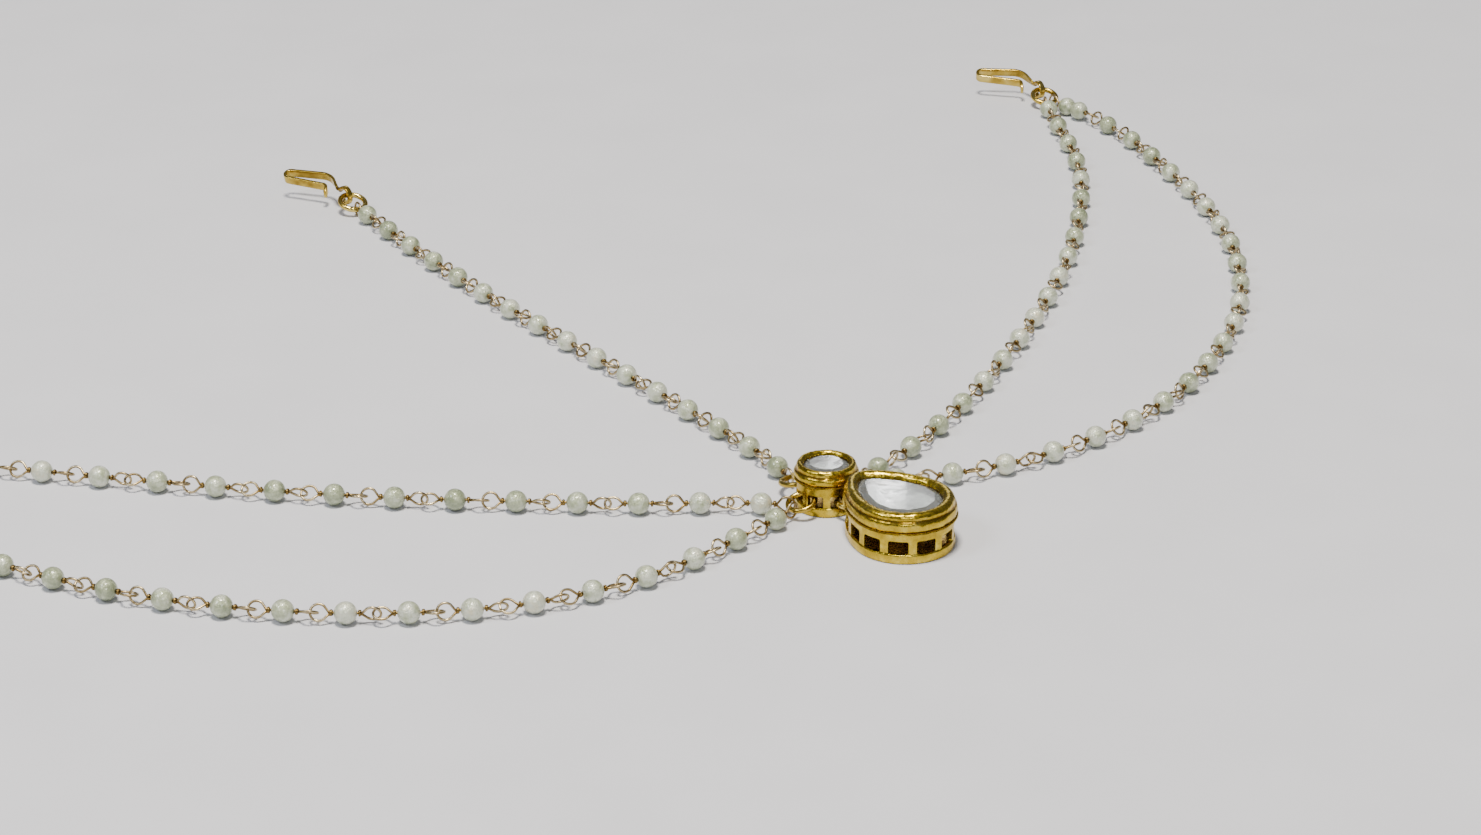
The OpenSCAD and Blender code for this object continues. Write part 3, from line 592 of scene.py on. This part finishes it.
# The hooks' strip and its bends, as they are in the part
STRIP_W = 1.4
STRIP_T = 0.45
EYE_STRIP_W = 0.9
STRIP_EDGE_R = 0.12
STRIP_BEVEL = 0.06
HOOK_EYE_D = 3.0
EYE_CUT = -20
EYE_CLOSE = 55
NECK_OUT = 0.6
NECK_UP = 0.5
ELBOW_TURN = 52
ELBOW_R = 3.0
HOOK_NECK_LEN = 2.0
HOOK_BACK_LEN = 5.0
HOOK_FRONT_LEN = 6.2
HOOK_TIP_LEN = 1.2
HOOK_GAP = 1.3
TIP_TURN = 75
TIP_BEND_R = 0.8
HOOK_RING_D = 4.8
HOOK_RING_TILT = 18
HOOK_RING_DROP = 0.35
# How gently the strip leaves its eye for the neck, and where its points lie between the two
BRIDGE_EASE = 0.4
BRIDGE_SHARES = (0.14, 0.28, 0.43, 0.57, 0.72, 0.86)
# Points in each bend, in each quarter of a straight and round each edge of the strip
HOOK_EYE_STEPS = 36
ELBOW_STEPS = 12
BEND_STEPS = 18
TIP_STEPS = 10
QUARTERS = (1, 2, 3)
EDGE_TURNS = (0, 22.5, 45, 67.5, 90)
# The four edges of the strip's section, each with the turn at which its rounding starts
EDGES = ((1, 1, 0), (-1, 1, 90), (-1, -1, 180), (1, -1, 270))


def arc_steps(centre, r, start, stop, count):
    """Points along an arc."""
    return [np.array(centre) + turned(r, start + (stop - start) * k / count) for k in range(count + 1)]


def hook_arms(spread):
    """The two arms and the tip in their own plane, with the back arm along +X."""
    elbow = turned(HOOK_NECK_LEN, -ELBOW_TURN) + turned(ELBOW_R, 90 - ELBOW_TURN)
    back_end = elbow + (HOOK_BACK_LEN, -ELBOW_R)
    bend_r = (HOOK_GAP + STRIP_T) / 2
    front_turn = 180 - spread
    front_start = back_end + (0, bend_r) + turned(bend_r, front_turn - 90)
    front_end = front_start + turned(HOOK_FRONT_LEN, front_turn)
    tip = front_end + turned(TIP_BEND_R, front_turn - 90)
    tip_start = tip + turned(TIP_BEND_R, front_turn + 90 - TIP_TURN)
    points = arc_steps(elbow, ELBOW_R, -90 - ELBOW_TURN, -90, ELBOW_STEPS)
    points += [elbow + (HOOK_BACK_LEN * k / 4, -ELBOW_R) for k in QUARTERS]
    points += arc_steps(back_end + (0, bend_r), bend_r, -90, front_turn - 90, BEND_STEPS)
    points += [front_start + (front_end - front_start) * k / 4 for k in QUARTERS]
    points += arc_steps(tip, TIP_BEND_R, front_turn + 90, front_turn + 90 - TIP_TURN, TIP_STEPS)
    points += [tip_start + turned(HOOK_TIP_LEN, front_turn - TIP_TURN)]
    return points


def bridge(a, leave, b, arrive):
    """Points between two ends, leaving and arriving along two directions."""
    ease = BRIDGE_EASE * np.linalg.norm(b - a)
    c, d = a + leave * ease, b - arrive * ease
    return [a * (1 - t) ** 3 + c * 3 * t * (1 - t) ** 2 + d * 3 * t * t * (1 - t) + b * t ** 3
            for t in BRIDGE_SHARES]


def bent_strip(line, shares, first_wide, last_wide):
    """Flat strip along a line of points, as (corners, faces, tones). By its shares it turns from
    one direction of its width to the other and grows from the eye's width to its own."""
    line = np.asarray(line, float)
    forward = directions(line)
    # A small bevel at each cut end
    ends = [(line[0], forward[0], shares[0], STRIP_BEVEL)]
    ends += [(p, f, s, 0.0) for p, f, s in zip(line, forward, shares)]
    ends += [(line[-1], forward[-1], shares[-1], STRIP_BEVEL)]
    ends[1] = (line[0] + forward[0] * STRIP_BEVEL, forward[0], shares[0], 0.0)
    ends[-2] = (line[-1] - forward[-1] * STRIP_BEVEL, forward[-1], shares[-1], 0.0)
    rounding = [(x, y, turned(STRIP_EDGE_R, start + turn)) for x, y, start in EDGES for turn in EDGE_TURNS]
    corners = []
    for place, along, share, less in ends:
        wide = first_wide * (1 - share) + last_wide * share
        wide = unit(wide - along * (wide @ along))
        thick = np.cross(wide, along)
        half_w = (EYE_STRIP_W + (STRIP_W - EYE_STRIP_W) * share) / 2 - STRIP_EDGE_R - less
        half_t = STRIP_T / 2 - STRIP_EDGE_R - less
        corners += [place + thick * (x * half_t + r[0]) + wide * (y * half_w + r[1])
                    for x, y, r in rounding]
    n, count = len(rounding), len(ends)
    faces = [(k * n + i, k * n + (i + 1) % n, (k + 1) * n + (i + 1) % n, (k + 1) * n + i)
             for k in range(count - 1) for i in range(n)]
    faces += [tuple(range(n)), tuple(range((count - 1) * n, count * n))]
    return np.array(corners), faces, np.zeros(len(corners))


def hair_hook(name):
    """One strip bent into an eye, a neck, two arms that lie side by side and a turned-out tip."""
    spot, eye_turn, hook_turn, roll, spread = HOOKS[name]
    turn, roll = math.radians(hook_turn - eye_turn), math.radians(roll)
    along = np.array([math.cos(turn), math.sin(turn), 0])
    across = np.array([-math.sin(turn) * math.cos(roll), math.cos(turn) * math.cos(roll), -math.sin(roll)])
    upright = np.array([-math.sin(turn) * math.sin(roll), math.cos(turn) * math.sin(roll), math.cos(roll)])
    eye_r = (HOOK_EYE_D - STRIP_T) / 2
    bend = arc_steps((0, 0), eye_r, EYE_CUT, EYE_CLOSE - 360, HOOK_EYE_STEPS)
    eye = [np.array([p[0], 0, p[1]]) for p in bend]
    start = np.array([eye_r + NECK_OUT, 0, NECK_UP])
    lean, close = math.radians(ELBOW_TURN), math.radians(EYE_CLOSE)
    neck = unit(along * math.cos(lean) - across * math.sin(lean))
    link = bridge(eye[-1], np.array([math.sin(close), 0, -math.cos(close)]), start, neck)
    link += [start + neck * HOOK_NECK_LEN * k / 4 for k in range(4)]
    arms = [start + along * p[0] + across * p[1] for p in hook_arms(spread)]
    turning = [(k + 1) / (len(link) + 1) for k in range(len(link))]
    shares = [0.0] * len(eye) + turning + [1.0] * len(arms)
    corners, faces, tones = bent_strip(eye + link + arms, shares, np.array([0.0, 1.0, 0.0]), upright)
    ring_r, tilt = (HOOK_RING_D - HOOK_RING_WIRE_D) / 2, math.radians(HOOK_RING_TILT)
    x, y = np.array(spot) + turned(ring_r * math.cos(tilt) + LOOSE, eye_turn)
    z = PEARL_D / 2 + 2 * ring_r * math.sin(tilt) - HOOK_RING_DROP
    c, s = turned(1, eye_turn)
    corners = corners @ np.array([[c, s, 0], [-s, c, 0], [0, 0, 1]]) + (x, y, z)
    make_piece(name + "_strip", (corners, faces, tones), BRIGHT_BRASS, [name], sharp_above=60)


# Settings

def round_outline(share, out):
    """Points on the round wall, at a share of the way round and a distance out from it."""
    a = 2 * math.pi * share - math.pi / 2
    return np.stack([(ROUND_R + out) * np.cos(a), (ROUND_R + out) * np.sin(a)], axis=-1)


# The pear's wall is four arcs that run into each other: its tip, a side, its broad end and a side
side_a = PEAR_SIDE_R - PEAR_R
side_b = PEAR_SIDE_R - PEAR_TIP_R
side_cosine = (PEAR_STRETCH ** 2 + side_a ** 2 - side_b ** 2) / (2 * PEAR_STRETCH * side_a)
side_turn = math.degrees(math.acos(side_cosine))
side_centre = turned(side_a, -side_turn)
broad_end = 180 - side_turn
tip_end = math.degrees(math.atan2(-side_centre[1], PEAR_STRETCH - side_centre[0]))
# Each arc as (centre, radius, first and last direction of the outward normal)
PEAR_ARCS = (
    ((PEAR_STRETCH, 0.0), PEAR_TIP_R, -tip_end, tip_end),
    (tuple(side_centre), PEAR_SIDE_R, tip_end, broad_end),
    ((0.0, 0.0), PEAR_R, broad_end, 360 - broad_end),
    ((side_centre[0], -side_centre[1]), PEAR_SIDE_R, 360 - broad_end, 360 - tip_end),
)
ARC_STARTS = np.cumsum([0] + [r * math.radians(b - a) for c, r, a, b in PEAR_ARCS])
PEAR_LENGTH = ARC_STARTS[-1]
pear_tip_at = turned(ROUND_R + 2 * FLANGE_OUT + SETTING_GAP + PEAR_TIP_R, PENDANT_TURN)
pear_at = pear_tip_at - turned(PEAR_STRETCH, PEAR_TURN)


def pear_outline(share, out):
    """Points on the pear's wall, at a share of the way round from its tip and a distance out."""
    share, out = np.broadcast_arrays(np.asarray(share, float), np.asarray(out, float))
    # The way round starts in the middle of the tip's arc
    way = (share * PEAR_LENGTH + ARC_STARTS[1] / 2) % PEAR_LENGTH
    ends = [arc[2] for arc in PEAR_ARCS] + [360 - tip_end]
    normal = np.interp(way, ARC_STARTS, ends)
    index = np.clip(np.searchsorted(ARC_STARTS, way, side="right") - 1, 0, 3)
    centre = np.array([arc[0] for arc in PEAR_ARCS])[index]
    radius = np.array([arc[1] for arc in PEAR_ARCS])[index] + out
    a = np.radians(normal)
    x = centre[..., 0] + radius * np.cos(a)
    y = centre[..., 1] + radius * np.sin(a)
    c, s = turned(1, PEAR_TURN)
    return np.stack([pear_at[0] + x * c - y * s, pear_at[1] + x * s + y * c], axis=-1)


# How far a window's corners are rounded, and the share of that by which each corner point is drawn in
CORNER = 0.25
CORNER_PULL = 0.29
# Columns in each half of a post and in the straight part of a window's width
POST_STEPS = 5
WINDOW_STEPS = 14
# Points over the rim from its outside to its inside
RIM_STEPS = 24
# Turns on the foot rail's lower edge, and on the bead
RAIL_TURNS = (-67, -45, -22, 0)
BEAD_TURNS = range(-65, 70, 10)
# The turn at which the bead reaches its full height
BEAD_EDGE_TURN = 60
# Painted shade and dirt lie on the bead and the rim from these turns on, thicker over the next ones,
# and on the rim's outside up to its own
BEAD_SHADE_AND_DIRT_TURN = 45
RIM_SHADE_AND_DIRT_TURN = 160
SHADE_AND_DIRT_FADE = 25
RIM_FOOT_TURN = 8
# Lumps left by the hand: how deep they go, the level that they stay under, their sizes as (share of
# the depth, how many to a millimetre), and where each setting's pattern starts
LUMP = 0.09
LUMP_TOP = 0.6
LUMP_SIZES = ((0.6, 0.8), (0.4, 2.3))
ROUND_LUMPS = Vector((3.1, 7.7, 1.3))
PEAR_LUMPS = Vector((9.4, 2.2, 5.8))


def wall_rows(size):
    """The wall's section from its foot, up the outside, over the rim and down the inside.
    Each row is (distance out, height, how much painted shade and dirt it takes, how lumpy it is)."""
    flange_top = GALLERY_H + FLANGE_T
    rim_foot = flange_top + GROOVE + size["bead_h"]
    lip_foot = rim_foot + GROOVE
    top = rim_foot + size["rim_h"]
    window_top = RAIL_H + size["window_h"]
    heights = (RAIL_H, RAIL_H + CORNER, RAIL_H + size["window_h"] / 2, window_top - CORNER, window_top)
    # The foot rail
    rows = [(-WALL_T, 0, 0.6, 0), (-RAIL_ROUND, 0, 0.5, 0.2)]
    for a in RAIL_TURNS:
        x, z = turned(RAIL_ROUND, a)
        rows.append((RAIL_OUT - RAIL_ROUND + x, RAIL_ROUND + z, 0.2, 0.5))
    rows += [(RAIL_OUT + 0.02, RAIL_H * 0.5, 0, 0.8), (RAIL_OUT, RAIL_H - RAIL_ROUND, 0, 0.7)]
    rows += [(RAIL_OUT * 0.75, RAIL_H - RAIL_ROUND * 0.35, 0, 0.6)]
    # The wall between the windows, up to the flange
    outer = len(rows)
    rows += [(0, z, 0.15, 0.25) for z in heights]
    rows += [(0, (window_top + GALLERY_H) / 2, 0.2, 0.25), (0, GALLERY_H - 0.1, 0.5, 0.2)]
    # The flange
    rows += [(0.06, GALLERY_H, 0.8, 0.2), (FLANGE_OUT * 0.9, GALLERY_H + FLANGE_T * 0.2, 0.1, 0.3)]
    rows += [(FLANGE_OUT, GALLERY_H + FLANGE_T / 2, 0, 0.3), (FLANGE_OUT * 0.9, flange_top, 0, 0.3)]
    rows += [(FLANGE_OUT * 0.5, flange_top + 0.02, 0.5, 0.3), (GROOVE, flange_top + GROOVE * 0.3, 1, 0.2)]
    # The bead, between two grooves
    bead_mid = flange_top + GROOVE / 2 + size["bead_h"] / 2
    for a in BEAD_TURNS:
        lean = math.radians(a)
        row_shade_and_dirt = max(0.0, (abs(a) - BEAD_SHADE_AND_DIRT_TURN) / SHADE_AND_DIRT_FADE)
        out = GROOVE / 2 + (BEAD_OUT - GROOVE / 2) * math.cos(lean)
        z = bead_mid + size["bead_h"] / 2 * math.sin(lean) / math.sin(math.radians(BEAD_EDGE_TURN))
        rows.append((out, z, row_shade_and_dirt, 0.9))
    rows.append((FIT * 0.4, rim_foot + GROOVE * 0.7, 1, 0.2))
    # The rim, round in section, that closes over the stone's edge
    rim_mid, rim_half = (FIT - size["rim_w"]) / 2, (FIT + size["rim_w"]) / 2
    rim_z = lip_foot + RIM_SIDE
    for a in np.linspace(0, 180, RIM_STEPS + 1):
        lean = math.radians(a)
        row_shade_and_dirt = 0.5 if a < RIM_FOOT_TURN else max(0.0, (a - RIM_SHADE_AND_DIRT_TURN) / SHADE_AND_DIRT_FADE)
        rows.append((rim_mid + rim_half * math.cos(lean), rim_z + (top - rim_z) * math.sin(lean), row_shade_and_dirt, 1))
    rows += [(-size["rim_w"], lip_foot, 1, 0), (-WALL_T, lip_foot, 1, 0)]
    # The inside of the wall, down past the windows, dark with painted shade and dirt
    inner = len(rows)
    rows += [(-WALL_T, z, 0.8, 0) for z in heights[::-1]]
    return rows, outer, inner, len(heights)


def wall_columns(size, length):
    """Shares of the way round, each as (share, place in its window or None), by bay."""
    bays = size["windows"]
    width = length / bays - size["post_w"]
    bay = length / bays
    post = (bay - width) / 2
    columns = []
    for b in range(bays):
        start = b * bay
        columns += [(start + post * k / POST_STEPS, None) for k in range(POST_STEPS)]
        left, right = start + post, start + bay - post
        inside = [left, left + CORNER]
        inside += [left + CORNER + (width - 2 * CORNER) * k / WINDOW_STEPS for k in range(1, WINDOW_STEPS)]
        inside += [right - CORNER, right]
        columns += [(s, i) for i, s in enumerate(inside)]
        columns += [(right + post * k / POST_STEPS, None) for k in range(1, POST_STEPS)]
    last = max(i for s, i in columns if i is not None)
    return [s / length for s, i in columns], [i for s, i in columns], last


def pierced_setting(outline, size, length, lump_seed):
    """A hollow wall with windows all round, a flange, a bead and a rounded, hand-worked rim."""
    rows, outer, inner, span = wall_rows(size)
    shares, windows, last = wall_columns(size, length)
    shares = np.array(shares)
    row_count, column_count = len(rows), len(shares)
    grid = np.zeros((row_count, column_count, 3))
    for r, (out, z, row_shade_and_dirt, lump) in enumerate(rows):
        grid[r, :, :2] = outline(shares, out)
        grid[r, :, 2] = z
    pull = CORNER * CORNER_PULL
    window_top = RAIL_H + size["window_h"]
    for c, place in enumerate(windows):
        if place in (0, last):
            moved = shares[c] + (pull if place == 0 else -pull) / length
            for r, out, z in ((outer, 0, RAIL_H + pull),
                              (outer + span - 1, 0, window_top - pull),
                              (inner, -WALL_T, window_top - pull),
                              (inner + span - 1, -WALL_T, RAIL_H + pull)):
                grid[r, c, :2] = outline(moved, out)
                grid[r, c, 2] = z

    def at(r, c):
        return (r % row_count) * column_count + c % column_count

    def opening(r, c):
        in_rows = outer <= r < outer + span - 1 or inner <= r < inner + span - 1
        return in_rows and windows[c] is not None and windows[c] < last

    faces = [(at(r, c), at(r, c + 1), at(r + 1, c + 1), at(r + 1, c))
             for r in range(row_count) for c in range(column_count) if not opening(r, c)]
    # Each window's head and sill through the wall, and then its two sides
    for c, place in enumerate(windows):
        if place is None:
            continue
        if place < last:
            for r, q in ((outer, inner + span - 1), (outer + span - 1, inner)):
                faces.append((at(r, c), at(r, c + 1), at(q, c + 1), at(q, c)))
        if place in (0, last):
            for k in range(span - 1):
                faces.append((at(outer + k, c), at(outer + k + 1, c),
                              at(inner + span - 2 - k, c), at(inner + span - 1 - k, c)))
    # Lumps left by the hand, only inward
    ahead = np.roll(grid, -1, axis=1) - np.roll(grid, 1, axis=1)
    upward = np.roll(grid, -1, axis=0) - np.roll(grid, 1, axis=0)
    normal = np.cross(ahead, upward)
    normal /= np.maximum(np.linalg.norm(normal, axis=2), 1e-9)[..., None]
    for r, (out, z, row_shade_and_dirt, lump) in enumerate(rows):
        if lump > 0:
            for c in range(column_count):
                p = Vector(grid[r, c])
                height = sum(share * noise.noise(p * many + lump_seed) for share, many in LUMP_SIZES)
                grid[r, c] += normal[r, c] * LUMP * lump * min(0.0, height - LUMP_TOP)
    # The third entry of each row, its painted shade and dirt, becomes the tone of its corners
    tones = np.repeat([row[2] for row in rows], column_count)
    return grid.reshape(-1, 3), faces, tones


# Corners round each plate and foil, and its rings from the outline toward the middle
PLATE_COLUMNS = 96
PLATE_RINGS = (1.0, 0.86, 0.72, 0.58, 0.44, 0.3, 0.16)
# How much painted shade and dirt lie on the floors and back plates, as on the wall
PLATE_SHADE_AND_DIRT = 0.9
# The foil's thickness, its gap to the stone and how deep its ripples are
FOIL_T = 0.03
FOIL_GAP = 0.005
FOIL_RIPPLE = 0.02
# How many ripples there are to a millimetre, and the level at which their pattern is read
RIPPLES = 0.9
RIPPLE_LEVEL = 3.0


def flat_plate(outline, out, foot, top, ripple=0.0):
    """A closed plate with an outline, in rings toward its middle, rippled like foil if it is to be."""
    count = PLATE_COLUMNS
    rim = outline(np.arange(count) / count, out)
    middle = rim.mean(axis=0)
    corners, faces = [], []
    for level in (foot, top):
        for scale in PLATE_RINGS:
            for x, y in middle + (rim - middle) * scale:
                z = level + ripple * noise.noise(Vector((x * RIPPLES, y * RIPPLES, RIPPLE_LEVEL)))
                corners.append((x, y, z))
        corners.append((*middle, level))
    block = len(PLATE_RINGS) * count + 1
    for side in (0, 1):
        base = side * block
        for k in range(len(PLATE_RINGS) - 1):
            for i in range(count):
                j = (i + 1) % count
                faces.append((base + k * count + i, base + k * count + j, base + (k + 1) * count + j,
                              base + (k + 1) * count + i))
        inner_ring = base + (len(PLATE_RINGS) - 1) * count
        faces += [(inner_ring + i, inner_ring + (i + 1) % count, base + block - 1) for i in range(count)]
    faces += [(i, (i + 1) % count, block + (i + 1) % count, block + i) for i in range(count)]
    return np.array(corners, float), faces, np.full(len(corners), PLATE_SHADE_AND_DIRT)


def foil_band(outline, out, foot, top):
    """A closed band of foil that stands along an outline."""
    count = PLATE_COLUMNS
    shares = np.arange(count) / count
    sections = ((out, foot), (out, top), (out - FOIL_T, top), (out - FOIL_T, foot))
    corners = [(x, y, z) for place, z in sections for x, y in outline(shares, place)]
    faces = [(k * count + i, k * count + (i + 1) % count, (k + 1) % 4 * count + (i + 1) % count,
              (k + 1) % 4 * count + i) for k in range(4) for i in range(count)]
    return np.array(corners), faces, np.zeros(len(corners))


def make_setting(name, outline, size, length, lump_seed):
    """The setting with its floor and back plate, and the foil under and round the stone."""
    floor_top = GALLERY_H + FLANGE_T + 2 * GROOVE + size["bead_h"] - FIT - STONE_EDGE_H
    wall = pierced_setting(outline, size, length, lump_seed)
    floor = flat_plate(outline, -WALL_T / 2, floor_top - FLOOR_T, floor_top)
    plate = flat_plate(outline, -WALL_T / 2, PLATE_UP, PLATE_UP + PLATE_T)
    casting = joined([wall, floor, plate])
    make_piece(name + "_gold", casting, CAST_GOLD, [name], sharp_above=50)
    foil_at = floor_top + FIT / 2
    foil = flat_plate(outline, -WALL_T - FIT, foil_at - FOIL_T / 2, foil_at, FOIL_RIPPLE)
    lining = foil_band(outline, -WALL_T - FOIL_GAP, foil_at, foil_at + STONE_EDGE_H - FOIL_GAP)
    make_piece(name.replace("setting", "foil"), joined([foil, lining]), FOIL)


# Camera, as the photo was taken: 24 degrees down with a long lens

CAMERA_AT = (-11.371, -491.346, 231.5)
CAMERA_DOWN = 24
FOCAL_PIXELS = 4083
IMAGE_WIDTH = 1481
SENSOR = 36.0

camera_data = bpy.data.cameras.new("camera")
camera_data.sensor_fit = "HORIZONTAL"
camera_data.sensor_width = SENSOR
camera_data.lens = FOCAL_PIXELS * SENSOR / IMAGE_WIDTH
camera_data.clip_start = 0.01
camera_data.clip_end = 20
camera = bpy.data.objects.new("camera", camera_data)
camera.location = Vector(CAMERA_AT) * MM
camera.rotation_euler = (math.radians(90 - CAMERA_DOWN), 0, 0)
bpy.context.scene.collection.objects.link(camera)
bpy.context.scene.camera = camera

CAST_GOLD = gold_plated_cast_brass()
BRIGHT_BRASS = gold_plated_drawn_brass()
WORN_WIRE = worn_flash_gilt_wire()
LACQUER = pearl_lacquered_plastic()
GLASS = cut_crown_glass()
FOIL = crumpled_silver_foil()
PAPER = pale_studio_paper()

made = 0
for strand in STRANDS:
    made += make_strand(strand, made)
for number, ring in enumerate(RINGS + HOOK_RINGS):
    jump_ring(ring, FIRST_CUT + CUT_STEP * number)
for hook in HOOKS:
    hair_hook(hook)
make_setting("round_setting", round_outline, ROUND_SETTING, 2 * math.pi * ROUND_R, ROUND_LUMPS)
make_setting("pendant_setting", pear_outline, PEAR_SETTING, PEAR_LENGTH, PEAR_LUMPS)
for stone in ("round_stone", "pendant_stone"):
    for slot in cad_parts[stone].material_slots:
        slot.material = GLASS

# Plain floor and soft light, in metres

FLOOR_SIZE = 6.0
# What the lamps look at
PIECE_MIDDLE = Vector((-0.03, 0.05, 0))


def studio_floor():
    """A large pale floor."""
    half = FLOOR_SIZE / 2
    mesh = bpy.data.meshes.new("floor")
    corners = [(-half, -half, 0), (half, -half, 0), (half, half, 0), (-half, half, 0)]
    mesh.from_pydata(corners, [], [(0, 1, 2, 3)])
    mesh.materials.append(PAPER)
    floor = bpy.data.objects.new("floor", mesh)
    bpy.context.scene.collection.objects.link(floor)


def soft_light(name, at, size, watts, code):
    """A round soft lamp that looks at the middle of the piece."""
    data = bpy.data.lights.new(name, "AREA")
    data.shape = "DISK"
    data.size = size
    data.energy = watts
    data.color = linear(code)[:3]
    lamp = bpy.data.objects.new(name, data)
    lamp.location = at
    aim = PIECE_MIDDLE - Vector(at)
    lamp.rotation_euler = aim.to_track_quat("-Z", "Y").to_euler()
    bpy.context.scene.collection.objects.link(lamp)


studio_floor()
soft_light("key_light", (-0.06, -0.12, 1.0), 0.26, 16.0, "#FFF8EC")
soft_light("fill_light", (-0.6, -0.3, 0.7), 0.3, 3.0, "#EEF3FF")
soft_light("front_light", (0.1, -0.8, 0.5), 0.3, 1.5, "#FFFFFF")
# Opposite the camera and as high, so that the flat stones show it
soft_light("back_light", (-0.02, 0.92, 0.43), 0.3, 0.45, "#FFFFFF")
# Two small lamps beside it, one for the glint on each stone
soft_light("pear_glint", (0.045, 0.929, 0.443), 0.014, 0.009, "#FFFFFF")
soft_light("round_glint", (0.027, 0.955, 0.443), 0.01, 0.004, "#FFFFFF")

world = bpy.data.worlds.new("studio")
world.use_nodes = True
background = world.node_tree.nodes["Background"]
background.inputs["Color"].default_value = linear("#C9CCD4")
background.inputs["Strength"].default_value = 0.24
bpy.context.scene.world = world
